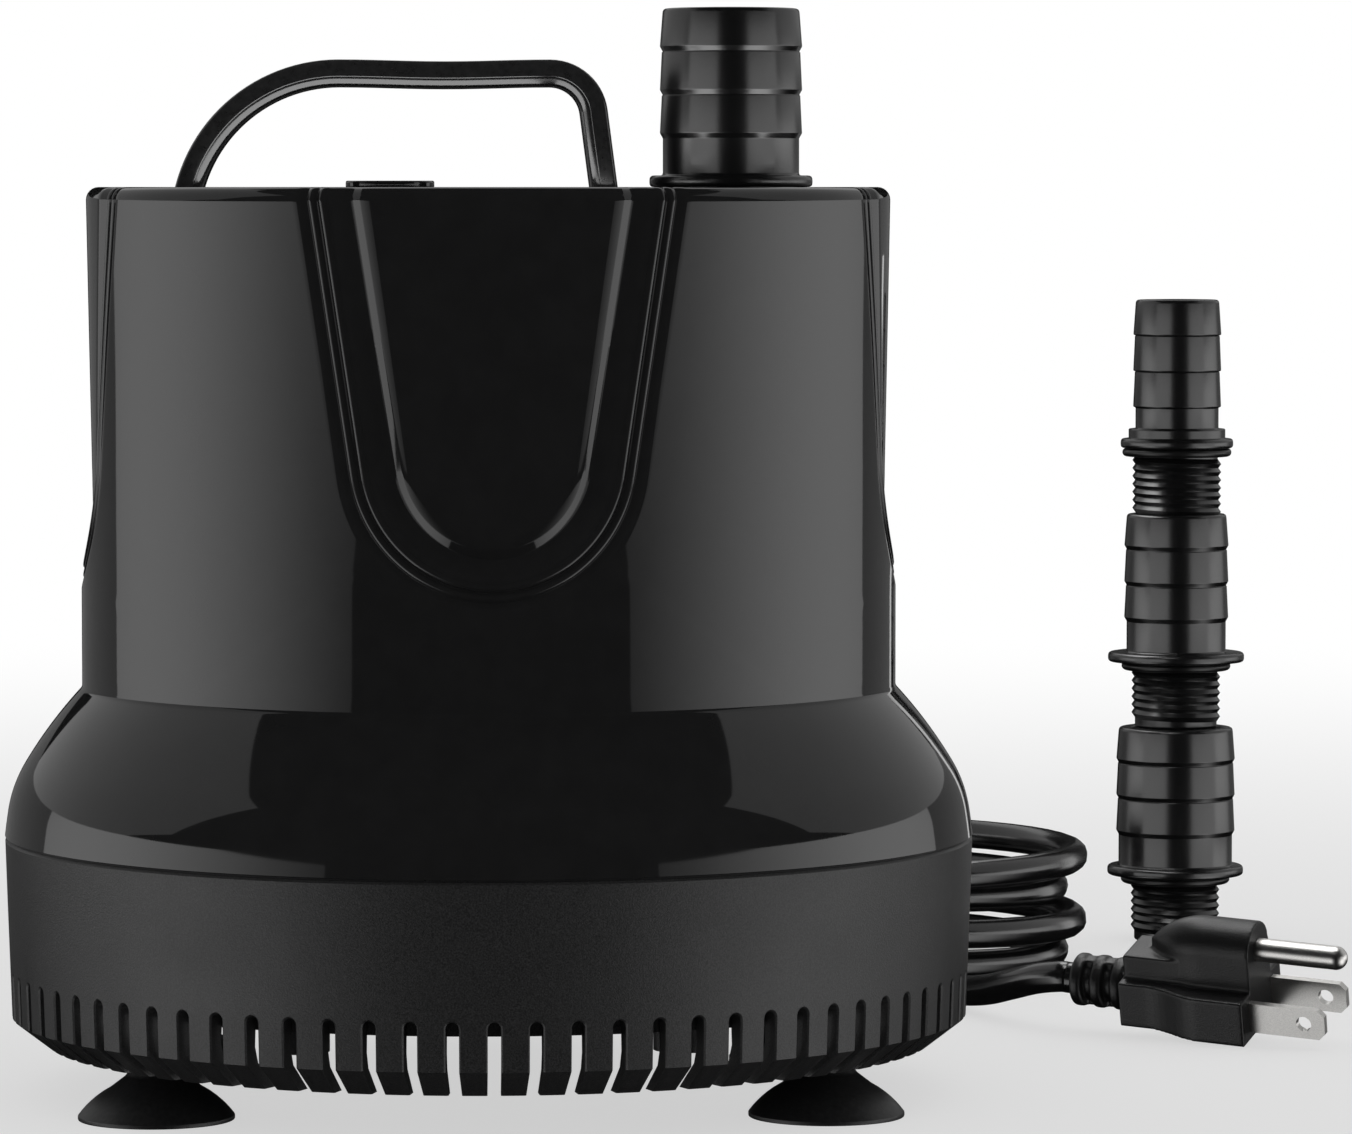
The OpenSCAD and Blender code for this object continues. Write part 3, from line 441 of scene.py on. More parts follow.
class NodeBuilder:
    """Builds one Geometry Nodes tree with named inputs, and runs it on an object."""

    def __init__(self, name: str) -> None:
        """Starts an empty tree with a geometry input and a geometry output.

        Args:
            name: The tree's name.
        """
        self.tree = bpy.data.node_groups.new(name, "GeometryNodeTree")
        for way in ("INPUT", "OUTPUT"):
            self.tree.interface.new_socket("Geometry", in_out=way, socket_type="NodeSocketGeometry")
        self.values: dict[str, float | int] = {}
        self.source = self.tree.nodes.new("NodeGroupInput")
        self.sink = self.tree.nodes.new("NodeGroupOutput")

    def size(self, name: str, value: float | int) -> NodeSocket:
        """Adds a named input.

        Args:
            name: The input's name.
            value: The value that it is run with.

        Returns:
            The socket that carries it inside the tree.
        """
        kind = "NodeSocketInt" if isinstance(value, int) else "NodeSocketFloat"
        socket = self.tree.interface.new_socket(name, in_out="INPUT", socket_type=kind)
        self.values[socket.identifier] = value
        return self.source.outputs[name]

    def add(self, kind: str, *values: object, **options: object) -> Node:
        """Adds a node, as add_node does."""
        return add_node(self.tree, kind, *values, **options)

    def product(self, *values: object) -> NodeSocket:
        """Adds a node that multiplies two values or sockets, and gives its result."""
        return maths(self.tree, "MULTIPLY", *values)

    def end(self, geometry: NodeSocket, finish: Finish) -> None:
        """Closes the tree with Realize Instances and Set Material.

        Args:
            geometry: What the tree has made.
            finish: The finish that it wears.
        """
        real = self.add("GeometryNodeRealizeInstances", Geometry=geometry)
        dressed = self.add("GeometryNodeSetMaterial", Geometry=real.outputs["Geometry"],
                           Material=finish.material())
        self.tree.links.new(dressed.outputs["Geometry"], self.sink.inputs["Geometry"])

    def run(self, thing: Object, near: float = 0.0, sharp: float = 40.0) -> Object:
        """Runs the tree on an object and leaves a plain mesh behind.

        Args:
            thing: The object whose mesh goes in.
            near: Points closer than this are joined afterwards, if it is given.
            sharp: Edges that turn by more than this many degrees stay sharp.

        Returns:
            The same object with its new mesh.
        """
        modifier = thing.modifiers.new(self.tree.name, "NODES")
        modifier.node_group = self.tree
        for identifier, value in self.values.items():
            modifier[identifier] = value
        mesh = plain_mesh(thing)
        if near:
            weld(mesh, near)
        shade_smooth(mesh, sharp)
        return thing


@dataclass
class StrainerBase:
    """Slotted skirt: one tooth and its half slots, repeated around the pump."""

    seam_r: float = 92 * MM
    seam_z: float = 49 * MM
    seam_round: float = 0.5 * MM
    skirt_r: float = 90.8 * MM
    crease_z: float = 15 * MM
    tip_r: float = 84.3 * MM
    tip_z: float = 10 * MM
    wall: float = 3 * MM
    tip_walls: float = 1.25
    lip_r: float = 88.7 * MM
    lip_in_r: float = 86.1 * MM
    lip_z: float = 53 * MM
    lip_foot_z: float = 45 * MM
    slots: int = 76
    slot_w: float = 2.4 * MM
    slot_top_z: float = 24 * MM
    bevel_row_z: float = 12.5 * MM
    tooth_row_z: float = 18 * MM
    ring_z: float = 26.5 * MM
    wall_row_z: float = 37 * MM
    edge: float = 0.3 * MM
    arch_steps: int = 4
    join: float = 0.01 * MM

    def outer(self, z: float) -> float:
        """Gives the skirt's outer radius at a height.

        Args:
            z: The height.

        Returns:
            The radius.
        """
        if z < self.crease_z:
            return lerp(self.tip_r, self.skirt_r, (z - self.tip_z) / (self.crease_z - self.tip_z))
        return lerp(self.skirt_r, self.seam_r, (z - self.crease_z) / (self.seam_z - self.crease_z))

    def inner(self, z: float) -> float:
        """Gives the skirt's inner radius at a height under the lip.

        Args:
            z: The height.

        Returns:
            The radius.
        """
        foot, radius = self.crease_z + MM, self.skirt_r - self.wall
        if z < foot:
            tip = self.tip_r - self.tip_walls * self.wall
            return lerp(tip, radius, (z - self.tip_z) / (foot - self.tip_z))
        return lerp(radius, self.lip_in_r, (z - foot) / (self.lip_foot_z - foot))

    def build(self) -> Object:
        """Builds the skirt.

        Returns:
            The skirt, which replaces its CAD node.
        """
        tooth = piece("strainer_skirt", *self.sector(), BASE_SPARK)
        nodes = NodeBuilder("slot_ring")
        count = nodes.size("Slots", self.slots)
        step = nodes.product(maths(nodes.tree, "DIVIDE", 1.0, count), math.tau)
        turn = nodes.product(nodes.add("GeometryNodeInputIndex").outputs[0], step)
        copies = nodes.add("GeometryNodeInstanceOnPoints", Instance=nodes.source.outputs["Geometry"],
                           Points=nodes.add("GeometryNodePoints", Count=count).outputs[0],
                           Rotation=nodes.add("ShaderNodeCombineXYZ", Z=turn).outputs[0])
        nodes.end(copies.outputs[0], BASE_SPARK)
        return nodes.run(tooth, self.join, sharp=32.0)

    def sector(self) -> tuple[list[Vector], list[list[int]]]:
        """Makes one tooth with half a slot on either side.

        Returns:
            Its points and faces, open where it meets its neighbours.
        """
        half = math.pi / self.slots
        half_w = self.slot_w / 2
        spring_z = self.slot_top_z - half_w
        heights = [self.tip_z, self.bevel_row_z, self.crease_z, self.tooth_row_z, spring_z]
        chain = [(half_w, z, 1.0, 0.0) for z in heights]
        for a in (math.pi / 2 * k / self.arch_steps for k in range(1, self.arch_steps + 1)):
            chain.append((half_w * math.cos(a), spring_z + half_w * math.sin(a), math.cos(a), math.sin(a)))
        top = len(heights) - 1
        points = Points()

        def rims(side: int) -> list[list[int]]:
            """Adds the edge points along one side of the tooth.

            Args:
                side: 1 for the side at the growing angle, -1 for the other.

            Returns:
                Rows of outer face, outer edge, inner edge and inner face, from the tip to the arch.
            """
            rows = []
            for across, z, out_x, out_z in chain:
                wide, high = across + self.edge * out_x, z + self.edge * out_z
                places = ((self.outer(high), wide, high), (self.outer(z) - self.edge, across, z),
                          (self.inner(z), across, z), (self.inner(high), wide, high))
                rows.append([points.polar(r, side * (half - math.asin(x / r)) - math.pi / 2 + half, h)
                             for r, x, h in places])
            return rows

        left, right = rims(-1), rims(1)

        def face_row(a: int, b: int) -> list[int]:
            """Adds the points across one tooth face.

            Args:
                a: The point at its left.
                b: The point at its right.

            Returns:
                The row, with both ends.
            """
            start, end = points[a], points[b]
            radius = math.hypot(start.x, start.y)
            return [a, *(points.toward(start.lerp(end, t), radius, start.z) for t in (0.25, 0.5, 0.75)), b]

        outer_rows = [face_row(left[m][0], right[m][0]) for m in range(top + 1)]
        inner_rows = [face_row(left[m][3], right[m][3]) for m in range(top + 1)]
        tip = [[left[0][1], *outer_rows[0], right[0][1]], [left[0][2], *inner_rows[0], right[0][2]]]
        faces = skin(left) + skin(right) + skin(outer_rows) + skin(inner_rows) + skin(tip)

        def arch_row(column: int, row: list[int]) -> list[int]:
            """Lists the points over both half arches and the tooth between them."""
            return ([left[m][column] for m in range(len(chain) - 1, top, -1)] + row
                    + [right[m][column] for m in range(top + 1, len(chain))])

        low_out, low_in = arch_row(0, outer_rows[top]), arch_row(3, inner_rows[top])
        seam_in = self.seam_r - self.seam_round
        ring = [(self.outer(self.ring_z), self.ring_z), (self.outer(self.wall_row_z), self.wall_row_z),
                (self.seam_r - self.seam_round / 10, self.seam_z - self.seam_round), (seam_in, self.seam_z),
                (self.lip_r, self.seam_z), (self.lip_r, self.lip_z), (self.lip_in_r, self.lip_z),
                (self.lip_in_r, self.lip_foot_z), (self.inner(self.ring_z), self.ring_z)]
        lifted = [[points.toward(points[v], r, z) for v in low_out] for r, z in ring]
        return points, faces + skin([low_out, *lifted, low_in])


@dataclass
class CarryHandle:
    """Strap handle: one stepped, rounded section swept over the top."""

    crown_z: float = 196 * MM
    foot_z: float = 167.5 * MM
    left_x: float = -28.3 * MM
    left_r: float = 31.8 * MM
    left_steps: int = 28
    right_x: float = 11.6 * MM
    right_r: float = 10.9 * MM
    right_steps: int = 14
    lean: float = math.radians(7.4)
    leg_steps: int = 6
    strap_w: float = 16 * MM
    upper_t: float = 3.3 * MM
    lower_t: float = 1.8 * MM
    lower_steps: int = 10
    ledge: float = 0.5 * MM
    crown_round: float = 0.9 * MM
    ledge_round: float = 0.25 * MM
    dip: float = 0.35 * MM
    dip_steps: int = 12

    def path(self) -> list[tuple[Vector, Vector]]:
        """Follows the strap's outer face from the left foot to the right one.

        Returns:
            Points on the face, each with the direction out of it.
        """
        stops: list[tuple[Vector, Vector]] = []
        low = self.crown_z - self.left_r
        start = math.acos(max(-1.0, (self.foot_z - low) / self.left_r))
        for a in (lerp(start, 0, k / self.left_steps) for k in range(self.left_steps + 1)):
            out = Vector((-math.sin(a), 0, math.cos(a)))
            stops.append((Vector((self.left_x, 0, low)) + out * self.left_r, out))
        for t in (k / self.dip_steps for k in range(1, self.dip_steps)):
            sag = self.dip * math.sin(math.pi * t) ** 2
            slope = self.dip * math.pi * math.sin(2 * math.pi * t) / (self.right_x - self.left_x)
            stops.append((Vector((lerp(self.left_x, self.right_x, t), 0, self.crown_z - sag)),
                          Vector((slope, 0, 1)).normalized()))
        for k in range(self.right_steps + 1):
            a = (math.pi / 2 - self.lean) * k / self.right_steps
            out = Vector((math.sin(a), 0, math.cos(a)))
            stops.append((Vector((self.right_x, 0, self.crown_z - self.right_r)) + out * self.right_r, out))
        corner, out = stops[-1]
        down = Vector((out.z, 0, -out.x))
        length = (corner.z - self.foot_z) / -down.z
        for k in range(1, self.leg_steps + 1):
            stops.append((corner + down * length * k / self.leg_steps, out))
        return stops

    def section(self) -> list[Point]:
        """Gives the strap's section.

        Returns:
            Its points, as depth under the outer face and place across it.
        """
        half = self.strap_w / 2
        lip = half - self.ledge
        side = [(0.0, half, self.crown_round), (self.upper_t, half, self.ledge_round),
                (self.upper_t, lip, 0.0)]
        for a in (math.pi / 2 * k / self.lower_steps for k in range(1, self.lower_steps + 1)):
            depth = self.upper_t + self.lower_t * math.sin(a)
            side.append((depth, lip - self.lower_t * (1 - math.cos(a)), 0.0))
        other = [(depth, -across, r) for depth, across, r in reversed(side)]
        return fillet(side + other, 6)

    def build(self) -> Object:
        """Builds the handle.

        Returns:
            The handle, which replaces its CAD node.
        """
        outline = self.section()
        stops = self.path()
        verts = [point - out * depth + Vector((0, across, 0))
                 for point, out in stops for depth, across in outline]
        rows = [list(range(k, k + len(outline))) for k in range(0, len(verts), len(outline))]
        faces = skin(rows, closed=True) + [rows[0], rows[-1]]
        return piece("handle_strap", verts, faces, HANDLE_SATIN, sharp=35.0)


@dataclass
class HoseAdapter:
    """Barbed hose tail with a flange and a screwed spigot."""

    node: str
    body: str
    barb_d: float
    flange_d: float
    step_d: float = 0.0
    undercut: float = 1.0 * MM
    lead_in: float = 2.4 * MM
    thread_d: float = 20.955 * MM
    thread_len: float = 15 * MM
    thread_pitch: float = 1.814 * MM
    thread_depth: float = 1.16 * MM
    thread_sunk: float = 0.05 * MM
    ridge_w: float = 0.92
    ridge_h: float = 1.05
    seal_land: float = 2.2 * MM
    flange_t: float = 2.2 * MM
    step_h: float = 2.2 * MM
    neck: float = 7 * MM
    barb_pitch: float = 8.2 * MM
    barbs: int = 3
    barb_step: float = 0.55 * MM
    barb_wall: float = 3.6 * MM
    spigot_bore: float = 16 * MM
    segments: int = 96
    sharp: float = 38.0

    @property
    def core(self) -> float:
        """Radius of the spigot under its thread."""
        return self.thread_d / 2 - self.thread_depth

    def outline(self) -> list[Point]:
        """Gives the adapter's section.

        Returns:
            Its points, as radius and height above the lower end.
        """
        barb, flange, hole = self.barb_d / 2, self.flange_d / 2, self.spigot_bore / 2
        root = barb - self.barb_step
        bore = barb - self.barb_wall
        flange_z = self.thread_len
        neck_z = flange_z + self.flange_t
        first = neck_z + self.neck
        top = first + self.barbs * self.barb_pitch
        corners = [(hole, 0, 0.4 * MM), (self.core, 0, 0.6 * MM), (self.core, flange_z, 0.2 * MM),
                   (flange, flange_z, 0.8 * MM), (flange, neck_z, 0.9 * MM)]
        if self.step_d:
            step, step_z = self.step_d / 2, neck_z + self.step_h
            corners += [(step, neck_z, 0.2 * MM), (step, step_z, 0.35 * MM), (root, step_z, 0.3 * MM)]
        else:
            corners.append((root, neck_z, 0.5 * MM))
        for k in range(self.barbs):
            z = first + k * self.barb_pitch
            corners += [(root, z, 0.25 * MM), (barb, z + self.undercut, 0.35 * MM)]
            if k < self.barbs - 1:
                corners.append((root + 0.2 * MM, z + self.barb_pitch - 0.1 * MM, 0.1 * MM))
        corners += [(root, top, 0.9 * MM), (bore, top, 0.4 * MM), (bore, flange_z - MM, 0.5 * MM),
                    (hole, flange_z - 2 * MM, 0.5 * MM)]
        return fillet(corners)

    def build(self) -> Object:
        """Builds the adapter where its CAD node stands.

        Returns:
            The adapter, which replaces its CAD node.
        """
        low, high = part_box(self.node)
        centre = ((low[0] + high[0]) / 2, (low[1] + high[1]) / 2, low[2])
        verts, faces = lathe(self.outline(), self.segments, centre)
        thing = piece(self.node.replace("adapter", "hose_tail"), verts, faces, ADAPTER_SATIN, self.sharp)
        return self._thread(thing, centre)

    def _thread(self, thing: Object, centre: Sequence[float]) -> Object:
        """Winds the screw thread round the spigot.

        Args:
            thing: The turned adapter.
            centre: The lower end of its axis.

        Returns:
            The adapter with its thread.
        """
        nodes = NodeBuilder(thing.name + "_thread")
        radius = nodes.size("Core radius", self.core - self.thread_sunk)
        pitch = nodes.size("Pitch", self.thread_pitch)
        run = nodes.size("Length", self.thread_len - self.seal_land - self.lead_in)
        depth = nodes.size("Depth", self.thread_depth)
        helix = nodes.add("GeometryNodeCurveSpiral", Resolution=64, Start_Radius=radius, End_Radius=radius,
                          Rotations=maths(nodes.tree, "DIVIDE", run, pitch), Height=run)
        upright = nodes.add("GeometryNodeSetCurveNormal", mode="Z_UP", Curve=helix.outputs[0])
        rise = nodes.product(depth, self.ridge_h)
        ridge = nodes.add("GeometryNodeCurvePrimitiveQuadrilateral", mode="KITE", Bottom_Height=rise,
                          Top_Height=rise, Width=nodes.product(pitch, self.ridge_w))
        wound = nodes.add("GeometryNodeCurveToMesh", Curve=upright.outputs[0], Profile_Curve=ridge.outputs[0],
                          Fill_Caps=True)
        moved = nodes.add("GeometryNodeTransform", Geometry=wound.outputs[0],
                          Translation=(centre[0], centre[1], centre[2] + self.lead_in))
        both = nodes.add("GeometryNodeJoinGeometry", moved.outputs[0])
        nodes.tree.links.new(nodes.source.outputs["Geometry"], both.inputs[0])
        nodes.end(both.outputs[0], ADAPTER_SATIN)
        return nodes.run(thing, sharp=self.sharp)


@dataclass
class TurnedPiece:
    """Plain round piece, turned from an outline with rounded corners, in millimetres."""

    node: str
    slot: str
    finish: Finish
    centre: Triple
    corners: Sequence[Triple]
    lying: bool = False

    @classmethod
    def cup(cls, node: str, x: float, y: float) -> "TurnedPiece":
        """Gives a suction cup: a thin dome on a stem that plugs into the intake plate.

        Args:
            node: The cup's CAD node.
            x: Its place across the pump.
            y: Its place from front to back.

        Returns:
            The cup.
        """
        def ball(radius: float, sunk: float, places: Sequence[float]) -> list[Triple]:
            """Follows a ball whose middle is sunk under the floor, at some distances from its axis."""
            return [(r, math.sqrt(radius ** 2 - r * r) - sunk, 0.0) for r in places]

        outer = ball(18.0, 9.87, (8.5, 10, 11.2, 12.2, 13.1, 13.8))
        hollow = ball(18.8, 13.1, (12, 10.5, 9, 7.5, 6, 4.5, 3, 1.5, 0))
        corners = [(0, 21, 0), (3, 21, 0.4), (3, 10.7, 0.1), (4.5, 10.7, 0.5), (5.6, 8.2, 1.6), *outer,
                   (14.5, 0.8, 0.3), (14.5, 0, 0.3), (13.5, 0, 0.2), *hollow]
        return cls(node, "cup_rubber", CUP_RUBBER, (x, y, 0), corners)

    @classmethod
    def gland(cls) -> "TurnedPiece":
        """Gives the ringed sleeve where the lead leaves the back of the body.

        Returns:
            The sleeve.
        """
        foot, length = 80.3, 25.0
        sleeve_r, taper = 6.2, 1.6
        grooves, groove_r, groove_w = 4, 4.1, 1.6
        corners = [(0, 67, 0), (5, 67, 0.4), (5, 77.45, 0), (8, 77.45, 0.3), (8, foot, 0.8),
                   (sleeve_r, foot, 0.4)]
        for near in (k * length / (grooves + 1.2) for k in range(1, grooves + 1)):
            far = near + groove_w
            corners += [(sleeve_r - taper * near / length, foot + near, 0.35), (groove_r, foot + near, 0.2),
                        (groove_r, foot + far, 0.2), (sleeve_r - taper * far / length, foot + far, 0.35)]
        corners += [(sleeve_r - taper, foot + length, 0.5), (0, foot + length, 0)]
        return cls("cord_gland", "cord_pvc", CORD_PVC, (0, 0, 88), corners, True)

    @classmethod
    def filler(cls) -> "TurnedPiece":
        """Gives the low round plug in the top face."""
        corners = [(0, 167, 0), (5.5, 167, 0.4), (5.5, 172, 0), (8.4, 172, 0.1), (8.4, 173.2, 0.4),
                   (0, 173.2, 0)]
        return cls("fill_plug", "housing_gloss", SHELL_GLOSS, (-18.7, 0, 0), corners)

    def build(self) -> Object:
        """Builds the piece, with its axis upright or lying from front to back.

        Returns:
            The piece, which replaces its CAD node.
        """
        verts, faces = lathe(fillet(self.corners), 80)
        turn = Matrix.Rotation(math.radians(-90 if self.lying else 0), 3, "X")
        placed = [(turn @ v + Vector(self.centre)) * MM for v in verts]
        return piece(self.node + "_turned", placed, faces, self.finish, sharp=38.0)


@dataclass
class HousingShell:
    """Gloss motor housing with its round shoulder and four U-shaped panels.

    The mesh lines of a panel follow its outline, so its beads and steps stay crisp. Places on
    a panel are an inset from the outline and a station along it. cavity is the section of the
    open underside, in millimetres.
    """

    seam_z: float = 49 * MM
    seam_edge: float = 0.5 * MM
    seam_lean: float = math.radians(6.6)
    band_z: float = 54 * MM
    band_lean: float = math.radians(8.6)
    shoulder_z: float = 63 * MM
    shoulder_lean: float = math.radians(31)
    shoulder_steps: int = 12
    crease_z: float = 77.4 * MM
    crease_round: float = 0.6 * MM
    crease_steps: int = 7
    top_z: float = 172 * MM
    base_r: float = 92 * MM
    body_r: float = 77.3 * MM
    top_round: float = 2.4 * MM
    top_steps: int = 6
    top_rings: Triple = (0.82, 0.5, 0.0)
    cavity: tuple[Point, ...] = ((91.6, 49), (88.85, 49), (88.85, 53.15), (85.95, 53.15), (85.95, 49),
                                 (71, 49), (71, 54), (66, 54), (66, 166), (0, 166))
    panels: int = 4
    panel_r: float = 28.2 * MM
    panel_drop: float = 48.1 * MM
    panel_lean: float = math.radians(8.6)
    panel_edge: float = 0.5 * MM
    foot_depth: float = 3.4 * MM
    top_depth: float = 2.0 * MM
    roll_depth: float = 0.9 * MM
    roll_start: float = 0.2 * MM
    roll_w: float = 2 * MM
    bead_insets: Point = (2.7 * MM, 4.6 * MM)
    bead_h: float = 0.6 * MM
    bead_half_w: float = 0.85 * MM
    pad_inset: float = 9.6 * MM
    pad_h: float = 0.9 * MM
    pad_slope: float = 1.8 * MM
    pad_border: float = 2 * MM
    middle_drop: float = 4 * MM
    middle_rows: int = 4
    ramp_rows: int = 7
    side_steps: int = 14
    rim_share: float = 0.99
    arc_steps: int = 34
    corner_step: int = 14
    flank_rows: int = 8

    @property
    def wall_foot_z(self) -> float:
        """Height where the upright wall starts to turn out into the shoulder."""
        return self.crease_z + self.crease_round

    @property
    def centre_z(self) -> float:
        """Height of the middle of a panel's round foot."""
        return self.top_z - self.panel_drop

    def depth(self, inset: float, z: float) -> float:
        """Gives how far a panel's face lies under the round body.

        Args:
            inset: Distance inside the panel's outline.
            z: Height of the place.

        Returns:
            The depth, 0 outside the outline.
        """
        foot_z = self.centre_z - self.panel_r
        floor = lerp(self.foot_depth, self.top_depth, (z - foot_z) / (self.top_z - foot_z))
        sunk = self.roll_depth * smoothstep(self.roll_start, self.roll_start + self.roll_w, inset)
        slope_from = self.bead_insets[1] + self.bead_half_w
        sunk += (floor - self.roll_depth) * smoothstep(slope_from, self.pad_inset, inset)
        for centre in self.bead_insets:
            off = min(abs(inset - centre) / self.bead_half_w, 1.0)
            sunk -= self.bead_h * math.cos(off * math.pi / 2)
        return sunk - self.pad_h * min(max((inset - self.pad_inset) / self.pad_slope, 0.0), 1.0)

    def insets(self) -> list[float]:
        """Lists the rows of points inside the outline.

        Returns:
            Their insets, from the outline's edge to the pad.
        """
        count = self.ramp_rows
        rows = [-self.panel_edge] + [self.roll_start + self.roll_w * k / count for k in range(count)]
        for centre in self.bead_insets:
            rows += [centre + self.bead_half_w * k / 4 for k in range(-4, 5)]
        rows += [lerp(rows[-1], self.pad_inset, k / count) for k in range(1, count)]
        rows += [self.pad_inset + self.pad_slope * k / count for k in range(count + 1)]
        return rows + [self.pad_inset + self.pad_slope + self.pad_border]

    def stations(self) -> list[Point]:
        """Lists the stations along half an outline, from the top edge to the foot.

        Returns:
            Pairs of share along the side, from 1 at the top to 0, and angle round the foot.
        """
        last = self.side_steps - 1
        sides = [(1.0, 0.0)] + [(self.rim_share * (1 - k / last), 0.0) for k in range(last)]
        quarter = math.pi / 2 - self.panel_lean
        return sides + [(0.0, quarter * k / self.arc_steps) for k in range(self.arc_steps + 1)]

    def on_outline(self, station: Point, inset: float) -> Point:
        """Gives the place of a station at an inset.

        Args:
            station: The station, as stations gives it.
            inset: Distance inside the outline.

        Returns:
            The place across the panel and the height.
        """
        share, turn = station
        radius = self.panel_r - inset
        if turn > 0:
            angle = -self.panel_lean - turn
            return radius * math.cos(angle), self.centre_z + radius * math.sin(angle)
        join_z = self.centre_z - radius * math.sin(self.panel_lean)
        z = lerp(join_z, self.top_z - self.top_round, share)
        return radius * math.cos(self.panel_lean) + (z - join_z) * math.tan(self.panel_lean), z

    def on_border(self, index: int) -> Point:
        """Gives the border of the panel's share of the body.

        Args:
            index: The number of the station that it belongs to.

        Returns:
            The angle from the panel's middle and the height.
        """
        half = math.pi / self.panels
        stations = self.stations()
        if index <= self.side_steps:
            return half, self.on_outline(stations[index], 0.0)[1]
        step = index - self.side_steps
        if step <= self.corner_step:
            top = self.on_outline(stations[self.side_steps], 0.0)[1]
            return half, lerp(top, self.wall_foot_z, step / self.corner_step)
        share = (step - self.corner_step) / (self.arc_steps - self.corner_step)
        return half * (1 - share), self.wall_foot_z

    def half_panel(self) -> list[list[Vector]]:
        """Places the points of half a panel, as angle, depth and height.

        Returns:
            One row for each line along the outline, from the border to the middle.
        """
        stations = self.stations()
        rows: list[list[Vector]] = []
        for t in (k / self.flank_rows for k in range(self.flank_rows)):
            row = []
            for i, station in enumerate(stations):
                angle, height = self.on_border(i)
                x, z = self.on_outline(station, -self.panel_edge)
                row.append(Vector((lerp(angle, math.asin(x / self.body_r), t), 0.0, lerp(height, z, t))))
            rows.append(row)
        for inset in self.insets():
            places = [self.on_outline(station, inset) for station in stations]
            rows.append([Vector((math.asin(x / self.body_r), self.depth(inset, z), z)) for x, z in places])
        last = rows[-1]
        for t in (k / self.middle_rows for k in range(1, self.middle_rows + 1)):
            row = []
            for (_, turn), point in zip(stations, last):
                z = lerp(point.z, self.centre_z - self.middle_drop, t) if turn else point.z
                row.append(Vector((point.x * (1 - t), self.depth(self.panel_r, z), z)))
            rows.append(row)
        return rows

    def below(self) -> list[Point]:
        """Gives the section under the upright wall.

        Returns:
            Its points, as radius and height, from the crease round to the cavity's roof.
        """
        count = self.shoulder_steps
        hip = [(self.base_r, self.seam_z + self.seam_edge)]
        for low, high, end_z in ((self.seam_lean, self.band_lean, self.band_z),
                                 (self.band_lean, self.shoulder_lean, self.shoulder_z)):
            r, z = hip[-1]
            bend = (end_z - z) / (math.sin(high) - math.sin(low))
            for lean in (lerp(low, high, k / count) for k in range(1, count + 1)):
                hip.append((r - bend * (math.cos(low) - math.cos(lean)),
                            z + bend * (math.sin(lean) - math.sin(low))))
        hip.reverse()
        crease, foot = Vector((self.body_r, self.crease_z)), Vector(hip[0])
        slope = (crease - foot).length
        middle = foot + Vector((-math.sin(self.shoulder_lean), math.cos(self.shoulder_lean))) * slope / 2
        arc = [bow(crease, middle, foot, lerp(self.crease_round / slope, 1, k / count)) for k in range(count)]
        wall = Vector((self.body_r, self.wall_foot_z))
        turn = [bow(wall, crease, arc[0], k / self.crease_steps) for k in range(1, self.crease_steps)]
        return [tuple(p) for p in turn + arc] + hip + [(r * MM, z * MM) for r, z in self.cavity]

    def build(self) -> Object:
        """Builds the housing.

        Returns:
            The housing, which replaces its CAD node.
        """
        points = Points()
        faces: list[list[int]] = []
        half = self.half_panel()
        for panel in range(self.panels):
            for side in (-1, 1):
                faces += self._half(points, half, 2 * math.pi * panel / self.panels - math.pi / 2, side)
        return piece("motor_housing", points, faces, SHELL_GLOSS, sharp=34.0)

    def _half(self, points: Points, rows: list[list[Vector]], middle: float, side: int) -> list[list[int]]:
        """Adds half a panel's share of the body, from the cavity's roof round to its floor.

        Args:
            points: The points so far.
            rows: The half panel's points, as angle, depth and height.
            middle: The direction that the panel faces.
            side: 1 for the half on the growing side, -1 for the other.

        Returns:
            Its faces.
        """
        def put(angle: float, radius: float, z: float) -> int:
            """Adds a point given by its angle from the panel's middle."""
            return points.polar(radius, middle + side * angle, z)

        grid = [[put(p.x, self.body_r - p.y, p.z) for p in row] for row in rows]
        rim = [row[0] for row in rows]
        top = [[row[0] for row in grid]]
        for a in (math.pi / 2 * k / self.top_steps for k in range(1, self.top_steps + 1)):
            drop = self.top_round * (1 - math.cos(a))
            z = self.top_z - self.top_round * (1 - math.sin(a))
            top.append([put(p.x, self.body_r - p.y - drop, z) for p in rim])
        for share in self.top_rings:
            top.append([put(p.x, (self.body_r - self.top_round) * share, self.top_z) for p in rim])
        first = self.side_steps + self.corner_step
        foot = [p.x for p in rows[0][first:]]
        under = [grid[0][first:]] + [[put(a, r, z) for a in foot] for r, z in self.below()]
        return skin(grid) + skin(top) + skin(under)


